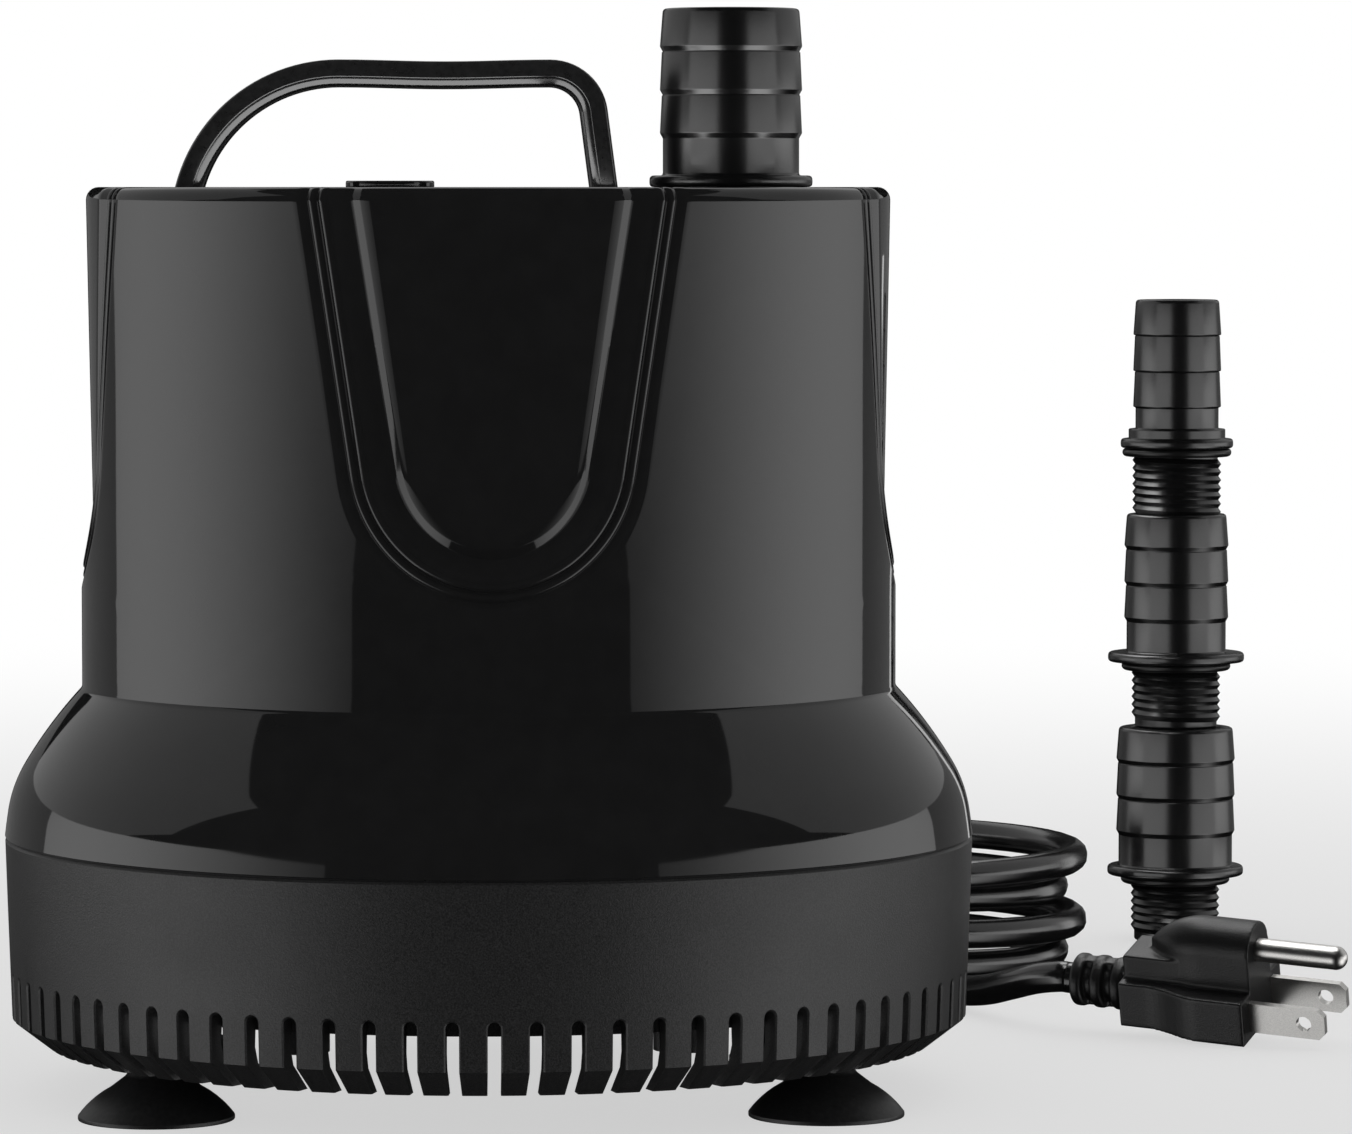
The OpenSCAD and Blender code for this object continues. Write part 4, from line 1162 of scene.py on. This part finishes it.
@dataclass
class MainsLead:
    """The mains lead: out of the gland, down to its coil, and on to the plug.

    Places along its route and the sizes of its coil are in millimetres.
    """

    cord_d: float = 6.4 * MM
    gland_exit: Triple = (0.0, 105.3, 88.0)
    gland_run: float = 3.0
    coil_centre: Point = (73.0, 205.0)
    coil_r: float = 60.0
    coil_layers: int = 4
    coil_turns: float = 3.96
    coil_inset: float = 8.0
    coil_start: float = math.radians(-100)
    coil_floor: float = 3.2
    layer_pitch: float = 7.1
    coil_rings: int = 48
    lead_route: tuple[Triple, ...] = (
        (1, 118, 86), (4, 127, 80), (10, 135, 70), (18, 140.5, 58), (27, 143.5, 46), (37, 144.8, 36),
        (47, 145, 29), (57, 144.6, 25.6))
    tail_route: tuple[Triple, ...] = (
        (80, 141.6, 3.2), (89, 136.5, 3.2), (96, 128, 3.4), (100.5, 117, 4.2), (104.5, 106, 5.8),
        (108.5, 96, 8.1), (112.8, 88, 10.2))

    def coil_point(self, turn: float) -> Vector:
        """Gives a point of the coil's middle line.

        Args:
            turn: Turns from the coil's plug end.

        Returns:
            The point.
        """
        layer = self.coil_turns / self.coil_layers
        index = math.floor(turn / layer)
        share = turn / layer - index
        radius = self.coil_r - self.coil_inset * (share if index % 2 == 0 else 1 - share)
        climbs = sum(smoothstep(0, 1, (turn - j * layer) * 2 + 0.5) for j in range(1, self.coil_layers))
        angle = self.coil_start - math.tau * turn
        return Vector((self.coil_centre[0] + radius * math.cos(angle),
                       self.coil_centre[1] + radius * math.sin(angle),
                       self.coil_floor + self.layer_pitch * climbs))

    def coil(self) -> list[Vector]:
        """Lists the coil's points, with one more in line at either end.

        Returns:
            The points, from the plug end to the pump end.
        """
        count = round(self.coil_turns * self.coil_rings)
        middle = [self.coil_point(self.coil_turns * k / count) for k in range(count + 1)]
        last = self.coil_start - math.tau * self.coil_turns
        ends = [Vector((math.sin(a), -math.cos(a), 0)) * self.cord_d / MM for a in (self.coil_start, last)]
        return [middle[0] - ends[0], *middle, middle[-1] + ends[1]]

    @staticmethod
    def smooth(points: Sequence[Vector], steps: int = 6) -> list[Vector]:
        """Runs a smooth curve through points.

        Args:
            points: The points that the curve goes through.
            steps: How many pieces one span gets.

        Returns:
            Points along the curve.
        """
        path = []
        last = len(points) - 1
        for i in range(last):
            a, b, c, d = points[max(i - 1, 0)], points[i], points[i + 1], points[min(i + 2, last)]
            for t in (s / steps for s in range(steps)):
                path.append(0.5 * (2 * b + (c - a) * t + (2 * a - 5 * b + 4 * c - d) * t ** 2
                                   + (3 * b - 3 * c + d - a) * t ** 3))
        return path + [points[last]]

    def path(self, plug: "MainsPlug") -> list[Vector]:
        """Gives the whole lead, from the gland to the plug.

        Args:
            plug: The plug on its far end.

        Returns:
            Points along its middle line, in metres.
        """
        coil = self.coil()
        start = Vector(self.gland_exit)
        lead = [start, start + Vector((0, self.gland_run, 0)), *map(Vector, self.lead_route),
                coil[-1] + (coil[-1] - coil[-2]) / 2, coil[-1]]
        rear, heading = plug.rear() / MM, plug.turn() @ Vector((1, 0, 0))
        tail = [coil[0], coil[0] + (coil[0] - coil[1]) / 2, *map(Vector, self.tail_route),
                rear - 4 * heading, rear - 2 * heading, rear]
        return [p * MM for p in self.smooth(lead) + coil[-2:0:-1] + self.smooth(tail)]

    def build(self, plug: "MainsPlug") -> tuple[Object, float]:
        """Builds the lead.

        Args:
            plug: The plug on its far end.

        Returns:
            The lead's curve and its length.
        """
        points = self.path(plug)
        curve = bpy.data.curves.new("mains_lead", "CURVE")
        curve.dimensions = "3D"
        curve.bevel_depth = self.cord_d / 2
        curve.bevel_resolution = 5
        curve.use_fill_caps = True
        curve.materials.append(CORD_PVC.material())
        spline = curve.splines.new("POLY")
        spline.points.add(len(points) - 1)
        for target, point in zip(spline.points, points):
            target.co = (*point, 1.0)
        spline.use_smooth = True
        return add_object("mains_lead", curve), sum((b - a).length for a, b in zip(points, points[1:]))


@dataclass
class MainsPlug:
    """Moulded three-pin plug: strain relief, flared block and the ridge over its ground pin."""

    pos: Point = (120.5 * MM, 81 * MM)
    yaw: float = math.radians(-28)
    pitch: float = math.radians(3)
    roll: float = math.radians(19)
    relief_len: float = 13 * MM
    relief_up: float = 5.6 * MM
    relief_r: float = 5.4 * MM
    relief_core_r: float = 3.7 * MM
    relief_bar: float = 1.5 * MM
    relief_bar_in: float = 0.4 * MM
    ribs: int = 3
    rib_pitch: float = 4.4 * MM
    rib_w: float = 2.5 * MM
    rib_edge: float = 0.5 * MM
    body_len: float = 27 * MM
    body_w: float = 22 * MM
    block_h: float = 9.5 * MM
    flare: float = 3.2 * MM
    flare_span: Point = (5 * MM, 17 * MM)
    flare_steps: int = 8
    back_half_w: float = 5.2 * MM
    back_span: Point = (-0.5 * MM, 13 * MM)
    back_heights: Point = (1 * MM, 14.6 * MM)
    ground_z: float = 16.6 * MM
    ridge_r: float = 5.8 * MM
    ridge_len: float = 11 * MM
    nose_len: float = 12 * MM
    nose_steps: int = 16
    nose_tip: float = 0.2 * MM
    flank_share: float = 0.995
    voxel: float = 0.32 * MM

    def face_x(self) -> float:
        """Gives the distance of the plug's face from the relief's rear end."""
        return self.relief_len + self.body_len

    def turn(self) -> Matrix:
        """Gives the plug's turn from its own frame, with +X towards the blades."""
        return (Matrix.Rotation(self.yaw, 3, "Z") @ Matrix.Rotation(self.pitch, 3, "Y")
                @ Matrix.Rotation(self.roll, 3, "X"))

    def rear(self) -> Vector:
        """Gives the rear end of the relief, where the front corner meets the floor."""
        edge = self.body_w / 2 * math.sin(self.roll) + self.relief_up * math.cos(self.roll)
        return Vector((*self.pos, self.face_x() * math.sin(self.pitch) + edge * math.cos(self.pitch)))

    def build(self) -> Object:
        """Moulds the plug from its plain forms and places it.

        Returns:
            The plug, which replaces its CAD node.
        """
        made = bmesh.new()
        self._block(made)
        self._ridge(made)
        self._relief(made)
        bmesh.ops.recalc_face_normals(made, faces=made.faces)
        plug = add_object("plug_moulding", bpy.data.meshes.new("plug_forms"))
        made.to_mesh(plug.data)
        made.free()
        remesh = plug.modifiers.new("mould", "REMESH")
        remesh.mode = "VOXEL"
        remesh.voxel_size = self.voxel
        soft = plug.modifiers.new("soften", "SMOOTH")
        soft.factor = 0.5
        soft.iterations = 4
        mesh = plain_mesh(plug)
        mesh.transform(Matrix.Translation(self.rear()) @ self.turn().to_4x4()
                       @ Matrix.Translation((0, 0, -self.relief_up)))
        mesh.materials.clear()
        mesh.materials.append(PLUG_SPARK.material())
        shade_smooth(mesh, 180.0)
        return plug

    @staticmethod
    def _prism(made: BMesh, side: Sequence[Point], low: float, high: float) -> None:
        """Adds an upright prism that is alike on both sides.

        Args:
            made: The mesh in work.
            side: Its outline from above, on one side.
            low: Height of its underside.
            high: Height of its top.
        """
        outline = [*side, *((x, -y) for x, y in reversed(side))]
        ends = [[made.verts.new((x, y, z)) for x, y in outline] for z in (low, high)]
        for face in ends + skin(ends, closed=True):
            made.faces.new(face)

    @staticmethod
    def _turned(made: BMesh, outline: Sequence[Point], z: float, segments: int = 64) -> None:
        """Adds a solid turned about a line along X.

        Args:
            made: The mesh in work.
            outline: Places along X and radii, from one end to the other.
            z: Height of the line.
            segments: Steps around the line.
        """
        turns = [math.tau * k / segments for k in range(segments)]
        rings = [[made.verts.new((x, r * math.sin(a), z + r * math.cos(a))) for a in turns]
                 for x, r in outline]
        for face in skin(rings, closed=True) + [rings[0], rings[-1]]:
            made.faces.new(face)

    def _block(self, made: BMesh) -> None:
        """Adds the lower block with its S-shaped flare, and the block behind the ridge.

        Args:
            made: The mesh in work.
        """
        wide = self.body_w / 2
        start, end = (self.relief_len + x for x in self.flare_span)
        bend = [lerp(start, end, k / self.flare_steps) for k in range(self.flare_steps + 1)]
        side = [(x, lerp(wide - self.flare, wide, smoothstep(start, end, x)))
                for x in (self.relief_len - MM, *bend, self.face_x())]
        self._prism(made, side, 0.0, self.block_h)
        back = [(self.relief_len + x, self.back_half_w) for x in self.back_span]
        self._prism(made, back, *self.back_heights)

    def _ridge(self, made: BMesh) -> None:
        """Adds the ridge over the ground pin, with its pointed nose and its straight flanks.

        Args:
            made: The mesh in work.
        """
        root = self.face_x() - self.ridge_len
        arc = (self.ridge_r ** 2 + self.nose_len ** 2) / (2 * self.ridge_r)
        nose = []
        for k in range(self.nose_steps):
            back = self.nose_len * (1 - k / self.nose_steps)
            radius = math.sqrt(arc ** 2 - back ** 2) - arc + self.ridge_r
            nose.append((root - back, max(radius, self.nose_tip)))
        straight = [(root, self.ridge_r), (self.face_x(), self.ridge_r)]
        self._turned(made, nose + straight, self.ground_z)
        flank = [(x, r * self.flank_share) for x, r in nose] + straight
        self._prism(made, flank, self.block_h - MM, self.ground_z)

    def _relief(self, made: BMesh) -> None:
        """Adds the strain relief: rings joined by bars, with open windows between them.

        Args:
            made: The mesh in work.
        """
        core, bar, edge = self.relief_core_r, self.relief_bar, self.rib_edge
        self._turned(made, [(0.2 * MM, core), (self.relief_len + MM, core)], self.relief_up)
        reach = self.relief_r - self.relief_bar_in
        for x in (k * self.rib_pitch for k in range(self.ribs)):
            end = x + self.rib_w
            self._turned(made, [(x, self.relief_r - edge), (x + edge, self.relief_r),
                                (end - edge, self.relief_r), (end, self.relief_r - edge)], self.relief_up)
            self._prism(made, [(end - MM, bar), (x + self.rib_pitch + MM, bar)], self.relief_up - reach,
                        self.relief_up + reach)


@dataclass
class Studio:
    """Pale floor, soft light on both sides, small flags for gloss, a plain surround and the camera.

    Angles of the soft light are from the camera's side. A patch is its left, right, front and
    back edge, and a strip stand its place across, its place from front to back and its heights.
    """

    photo_w: int = 1352
    photo_h: int = 1134
    axis_px: float = 489.0
    horizon_px: float = 187.0
    lens_mm: float = 177.9
    sensor_mm: float = 36.0
    camera_range: float = 1270 * MM
    camera_z: float = 172 * MM
    camera_azimuth: float = math.radians(-0.5)
    screen_r: float = 1.5
    screen_high_z: float = 0.262
    screen_low_z: float = -0.064
    screen_foot_z: float = -0.14
    screen_start: float = math.radians(38)
    screen_step: float = math.radians(78)
    screen_end: float = math.radians(127)
    screen_tail: float = math.radians(168)
    screen_peak: float = math.radians(90)
    screen_reach: float = math.radians(65)
    screen_glow: float = 1.7
    screen_edge_glow: float = 0.1
    tail_glow: float = 0.16
    under_z: float = -1.5
    under_span: Point = (math.radians(10), math.radians(122))
    under_peak: float = math.radians(67)
    under_reach: float = math.radians(46)
    panel_x: float = 1.5
    panel_edge: tuple[Point, ...] = ((-0.27, 0.40), (-0.68, 1.34), (1.87, 3.5),
                                     (3.3, 3.5), (3.3, 0.262), (0.1, 0.262))
    panel_glow: float = 0.45
    back_y: float = 3.0
    back_w: float = 4.0
    back_heights: Point = (1.2, 4.0)
    back_glow: float = 0.7
    bounce_patches: tuple[Edges, ...] = (
        (-53 * MM, 10 * MM, -60 * MM, -9 * MM), (13 * MM, 34 * MM, -45 * MM, -15 * MM),
        (58 * MM, 79 * MM, -45 * MM, -15 * MM))
    bounce_z: float = 172.4 * MM
    bounce_glow: float = 3.0
    strip_stands: tuple[Edges, ...] = (
        (46 * MM, 0.0, 177 * MM, 228 * MM), (159 * MM, 248 * MM, 2 * MM, 155 * MM))
    strip_gap: float = 14.5 * MM
    strip_depths: Point = (12 * MM, 39 * MM)
    strip_glow: float = 1.1
    strip_grid: Point = (0.82, 0.72)
    lead_patches: tuple[Edges, ...] = (
        (98 * MM, 146 * MM, 125 * MM, 190 * MM), (98 * MM, 143 * MM, 228 * MM, 290 * MM),
        (100 * MM, 185 * MM, 40 * MM, 105 * MM))
    lead_z: float = 120 * MM
    lead_glow: float = 4.0
    lead_grid: Point = (0.25, 0.45)
    floor_grey: float = 0.86
    tent_r: float = 6.0
    tent_grey: float = 0.012

    def camera(self) -> None:
        """Sets the camera where the photograph was taken from."""
        focal_px = self.lens_mm / self.sensor_mm * self.photo_w
        data = bpy.data.cameras.new("photo_camera")
        data.lens = self.lens_mm
        data.sensor_width = self.sensor_mm
        data.sensor_fit = "HORIZONTAL"
        data.clip_end = 50.0
        thing = add_object("photo_camera", data)
        a = self.camera_azimuth
        thing.location = (self.camera_range * math.sin(a), -self.camera_range * math.cos(a), self.camera_z)
        yaw = math.atan((self.photo_w / 2 - self.axis_px) / focal_px) - a
        drop = math.atan((self.photo_h / 2 - self.horizon_px) / focal_px)
        thing.rotation_euler = (math.pi / 2 - drop, 0.0, -yaw)
        bpy.context.scene.camera = thing

    def softboxes(self, side: int) -> list[Object]:
        """Hangs the soft light of one side: a round screen, its lower part, and a raised panel.

        The screen goes on below the floor, which gloss doesn't see, as on a clear table.

        Args:
            side: 1 for the right, -1 for the left.

        Returns:
            The pieces of the set.
        """
        name = "right" if side > 0 else "left"
        cloth = self._cloth("screen_cloth", self.screen_glow, self.screen_peak, self.screen_reach,
                            self.screen_edge_glow)
        tail = self._cloth("tail_cloth", self.tail_glow)
        under = self._cloth("under_cloth", self.screen_glow, self.under_peak, self.under_reach, 0.0)
        heights = (self.screen_foot_z, self.screen_high_z)
        screens = (("front", (self.screen_start, self.screen_step), (self.screen_low_z, heights[1]), cloth),
                   ("back", (self.screen_step, self.screen_end), heights, cloth),
                   ("tail", (self.screen_end, self.screen_tail), heights, tail),
                   ("under", self.under_span, (self.under_z, heights[0]), under))
        boxes = [self._screen(f"{kind}_screen_{name}", side, *shape) for kind, *shape in screens]
        corners = [(side * self.panel_x, y, z) for y, z in self.panel_edge]
        even = self._cloth("panel_cloth", self.panel_glow)
        return boxes + [self._card("panel_" + name, corners, [range(len(corners))], even, "camera", "shadow")]

    def back_light(self) -> Object:
        """Hangs an even card high behind the pump, for gloss alone.

        Returns:
            The card.
        """
        half = self.back_w / 2
        low, high = self.back_heights
        corners = [(x, self.back_y, z) for x, z in ((-half, low), (half, low), (half, high), (-half, high))]
        return self._card("back_card", corners, [range(4)], self._cloth("back_cloth", self.back_glow),
                          "camera", "shadow", "diffuse")

    def flags(self) -> list[Object]:
        """Sets small flags close to the part, for gloss alone.

        One over the top face lights the handle's edges from below, strips put bands on the round hose
        tails, and one hangs over the lead and its plug.

        Returns:
            The flags.
        """
        level = [self._patch(edges, self.bounce_z) for edges in self.bounce_patches]
        hung = [self._patch(edges, self.lead_z)[::-1] for edges in self.lead_patches]
        strips = []
        for x, y, low, high in self.strip_stands:
            for side in (-1, 1):
                near, far = (y - depth for depth in self.strip_depths[::side])
                corners = ((near, low), (far, low), (far, high), (near, high))
                strips.append([(x + side * self.strip_gap, *corner) for corner in corners])
        return [self._flag("bounce_flag", level, self.bounce_glow),
                self._flag("strip_flags", strips, self.strip_glow, self.strip_grid, level=True),
                self._flag("lead_flag", hung, self.lead_glow, self.lead_grid)]

    @staticmethod
    def _patch(edges: Edges, z: float) -> list[Triple]:
        """Gives the corners of a level patch, turning left as seen from above."""
        left, right, front, back = edges
        return [(left, front, z), (right, front, z), (right, back, z), (left, back, z)]

    def _flag(self, name: str, quads: Sequence[Sequence[Triple]], glow: float, grid: Point | None = None,
              level: bool = False) -> Object:
        """Makes a card that glows on one side, for gloss alone, and is clear from the other.

        Args:
            name: Its name.
            quads: Its four-cornered pieces, turning left as seen from the side that glows.
            glow: Its brightness.
            grid: How far a ray may slant before a grid in front of the card dims it, and where it ends.
            level: Whether the slant is from the upright, not from the card's own normal.

        Returns:
            The card.
        """
        material, tree = new_material(name + "_cloth")
        hidden = add_node(tree, "ShaderNodeNewGeometry").outputs["Backfacing"]
        if grid:
            up = {"Normal": add_node(tree, "ShaderNodeCombineXYZ", Z=1.0).outputs[0]} if level else {}
            slant = add_node(tree, "ShaderNodeLayerWeight", **up).outputs["Facing"]
            cut = add_node(tree, "ShaderNodeMapRange", slant, *grid).outputs["Result"]
            hidden = maths(tree, "MAXIMUM", hidden, cut)
        light = add_node(tree, "ShaderNodeEmission", Strength=glow)
        self._mix(tree, hidden, light, add_node(tree, "ShaderNodeBsdfTransparent"))
        corners = [corner for quad in quads for corner in quad]
        return self._card(name, corners, [range(k, k + 4) for k in range(0, len(corners), 4)], material,
                          "camera", "shadow", "diffuse")

    @staticmethod
    def _mix(tree: NodeTree, share: NodeSocket, first: Node,
             last: Node) -> None:
        """Gives a material the mix of two shaders.

        Args:
            tree: The material's tree.
            share: The last shader's share.
            first: The first shader.
            last: The last shader.
        """
        mix = add_node(tree, "ShaderNodeMixShader", share, first.outputs[0], last.outputs[0])
        tree.links.new(mix.outputs[0], tree.nodes["Material Output"].inputs["Surface"])

    def _screen(self, name: str, side: int, span: Point, heights: Point, cloth: Material,
                steps: int = 24) -> Object:
        """Bends a screen round the pump.

        Args:
            name: Its name.
            side: 1 for the right, -1 for the left.
            span: Its ends, as angles from the camera's side.
            heights: Its lower and upper edge.
            cloth: Its material.
            steps: Flat pieces in it.

        Returns:
            The screen.
        """
        verts = []
        for a in (lerp(*span, k / steps) for k in range(steps + 1)):
            verts += [(side * self.screen_r * math.sin(a), -self.screen_r * math.cos(a), z) for z in heights]
        faces = skin([range(0, len(verts), 2), range(1, len(verts), 2)])
        return self._card(name, verts, faces, cloth, "camera", "shadow")

    def _cloth(self, name: str, glow: float, peak: float = 0.0, reach: float = 1.0,
               edge: float | None = None) -> Material:
        """Makes a glowing cloth, even or brightest at one angle round the pump.

        Args:
            name: The material's name.
            glow: Strength at the brightest place.
            peak: The brightest place, as an angle from the camera's side.
            reach: Angle over which it fades.
            edge: Strength once it has faded, or nothing for an even cloth.

        Returns:
            The material.
        """
        material, tree = new_material(name)
        place = add_node(tree, "ShaderNodeTexCoord").outputs["Object"]
        parts = add_node(tree, "ShaderNodeSeparateXYZ", place).outputs
        angle = maths(tree, "ARCTAN2", maths(tree, "ABSOLUTE", parts["X"]),
                      maths(tree, "MULTIPLY", parts["Y"], -1.0))
        off = maths(tree, "ABSOLUTE", maths(tree, "SUBTRACT", angle, peak))
        strength = self._fade(tree, off, 0.0, reach, glow, glow if edge is None else edge)
        light = add_node(tree, "ShaderNodeEmission", Strength=strength)
        tree.links.new(light.outputs[0], tree.nodes["Material Output"].inputs["Surface"])
        return material

    @staticmethod
    def _fade(tree: NodeTree, value: NodeSocket, *ends: float) -> NodeSocket:
        """Adds a smooth run over a value: where it starts and ends, and what it gives before and after."""
        return add_node(tree, "ShaderNodeMapRange", value, *ends,
                        interpolation_type="SMOOTHSTEP").outputs["Result"]

    @staticmethod
    def _card(name: str, verts: Sequence[Sequence[float]], faces: Sequence[Sequence[int]],
              material: Material, *unseen: str) -> Object:
        """Adds a piece of the set.

        Args:
            name: Its name.
            verts: Its points.
            faces: Its faces.
            material: Its material.
            unseen: The kinds of ray that don't meet it.

        Returns:
            The piece.
        """
        mesh = bpy.data.meshes.new(name)
        mesh.from_pydata(verts, [], [tuple(face) for face in faces])
        mesh.materials.append(material)
        thing = add_object(name, mesh)
        for ray in unseen:
            setattr(thing, "visible_" + ray, False)
        return thing

    def surround(self, seen: float = 1.0, lit: float = 0.4) -> None:
        """Sets the surround: white where it is seen, weaker as light on the part.

        Args:
            seen: Brightness to the camera, in gloss and through glass.
            lit: Brightness as light.
        """
        world = bpy.data.worlds.new("surround")
        bpy.context.scene.world = world
        world.use_nodes = True
        tree = world.node_tree
        back = tree.nodes["Background"].inputs
        back["Color"].default_value = (1.0, 1.0, 1.0, 1.0)
        level = add_node(tree, "ShaderNodeMapRange", self._seen(tree), To_Min=lit, To_Max=seen)
        tree.links.new(level.outputs["Result"], back["Strength"])

    @staticmethod
    def _seen(tree: NodeTree) -> NodeSocket:
        """Adds nodes that give 1 for rays that see a surface, and 0 for light.

        Args:
            tree: The tree of a stage material or of the surround.

        Returns:
            The socket with that value.
        """
        rays = add_node(tree, "ShaderNodeLightPath").outputs
        seen = maths(tree, "MAXIMUM", rays["Is Camera Ray"], rays["Is Glossy Ray"])
        return maths(tree, "MAXIMUM", seen, rays["Is Transmission Ray"])

    def floor(self, half: float = 6.0, near: float = 0.6, start: float = 0.2,
              far: float = 1.3) -> Object:
        """Lays the floor: pale, with a faint shadow near the pump and plain white far away.

        Args:
            half: Half its width.
            near: How much of its look is plain white beside the pump.
            start: Distance from which it grows whiter.
            far: Distance from which it is all plain white.

        Returns:
            The floor.
        """
        material, tree = new_material("pale_floor")
        matt = tree.nodes["Principled BSDF"]
        matt.inputs["Base Color"].default_value = (*[self.floor_grey] * 3, 1.0)
        matt.inputs["Roughness"].default_value = 0.9
        place = add_node(tree, "ShaderNodeTexCoord").outputs["Object"]
        away = add_node(tree, "ShaderNodeVectorMath", place, operation="LENGTH").outputs["Value"]
        white = maths(tree, "MULTIPLY", self._seen(tree), self._fade(tree, away, start, far, near, 1.0))
        self._mix(tree, white, matt, add_node(tree, "ShaderNodeEmission"))
        corners = self._patch((-half, half, -half, half), 0.0)
        return self._card("floor", corners, [range(4)], material, "glossy")

    def tent(self, around: int = 48, rings: int = 24) -> Object:
        """Hangs a black tent all round, behind the soft light, that only gloss sees.

        Args:
            around: Steps around the tent.
            rings: Steps from its bottom to its top.

        Returns:
            The tent.
        """
        rises = (math.pi * (k / rings - 0.5) for k in range(rings + 1))
        verts, faces = lathe([(self.tent_r * math.cos(a), self.tent_r * math.sin(a)) for a in rises], around)
        material, tree = new_material("black_cloth")
        shader = tree.nodes["Principled BSDF"].inputs
        shader["Base Color"].default_value = (*[self.tent_grey] * 3, 1.0)
        shader["Roughness"].default_value = 1.0
        shader["Specular IOR Level"].default_value = 0.0
        return self._card("black_tent", verts, faces, material, "camera", "shadow", "diffuse",
                          "transmission", "volume_scatter")

    def build(self) -> None:
        """Sets the stage, the light and the camera."""
        bpy.context.scene.view_settings.view_transform = "Standard"
        self.surround()
        self.floor()
        self.tent()
        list(self.softboxes(-1))
        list(self.softboxes(1))
        self.back_light()
        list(self.flags())
        self.camera()


def fit(thing: Object, body: str, slot: str, *nodes: str) -> None:
    """Fixes a piece to its body and lets it stand for its CAD nodes.

    Args:
        thing: The piece.
        body: The CAD body that it moves with.
        slot: The material slot of its finish; it is not used.
        nodes: The CAD nodes that it stands for.
    """
    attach(thing, body)
    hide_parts(*nodes)
    size = len(thing.data.polygons) if thing.type == "MESH" else 0
    LOG.info("%s stands for %s, %d faces", thing.name, ", ".join(nodes), size)


def dress_nodes(nodes: dict[str, Object]) -> None:
    """Gives every CAD node that stays in view its finish.

    Args:
        nodes: The CAD nodes by name.
    """
    for finish, names in NODE_FINISHES.items():
        for thing in (nodes[name] for name in names):
            for slot in thing.material_slots:
                slot.material = finish.material()
            if not thing.material_slots:
                thing.data.materials.append(finish.material())
        LOG.info("%s on %s", finish.name, ", ".join(names))


def build_pump() -> None:
    """Builds the pump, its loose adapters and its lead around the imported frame."""
    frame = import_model()
    dress_nodes(frame["nodes"])
    fit(HousingShell().build(), PUMP, "housing_gloss", "housing_shell")
    fit(StrainerBase().build(), PUMP, "base_plastic", "strainer_base")
    fit(CarryHandle().build(), PUMP, "handle_plastic", "carry_handle")
    for tail in (HoseAdapter("outlet_adapter", "outlet", 27 * MM, 31 * MM),
                 HoseAdapter("spare_adapter_large", PUMP, 27 * MM, 31 * MM),
                 HoseAdapter("spare_adapter_medium", PUMP, 23.7 * MM, 31 * MM),
                 HoseAdapter("spare_adapter_small", PUMP, 20 * MM, 25.6 * MM, 22 * MM, 0.2 * MM, 0.4 * MM)):
        fit(tail.build(), tail.body, "adapter_plastic", tail.node)
    for turned in (TurnedPiece.cup("suction_cup_front_left", -62, -40),
                   TurnedPiece.cup("suction_cup_front_right", 62, -40),
                   TurnedPiece.cup("suction_cup_rear_left", -62, 40),
                   TurnedPiece.cup("suction_cup_rear_right", 62, 40),
                   TurnedPiece.gland(), TurnedPiece.filler()):
        fit(turned.build(), PUMP, turned.slot, turned.node)
    plug = MainsPlug()
    moulding = plug.build()
    fit(moulding, PUMP, "plug_pvc", "plug_body")
    lead = MainsLead()
    cord, length = lead.build(plug)
    fit(cord, PUMP, "cord_pvc", "cord_lead", "cord_coil", "cord_tail")
    LOG.info("the lead is %.3f m long", length)
    tuple(c * MM for c in lead.gland_exit)
    Studio().build()


if __name__ == "__main__":
    logging.basicConfig(level=logging.INFO)
    build_pump()
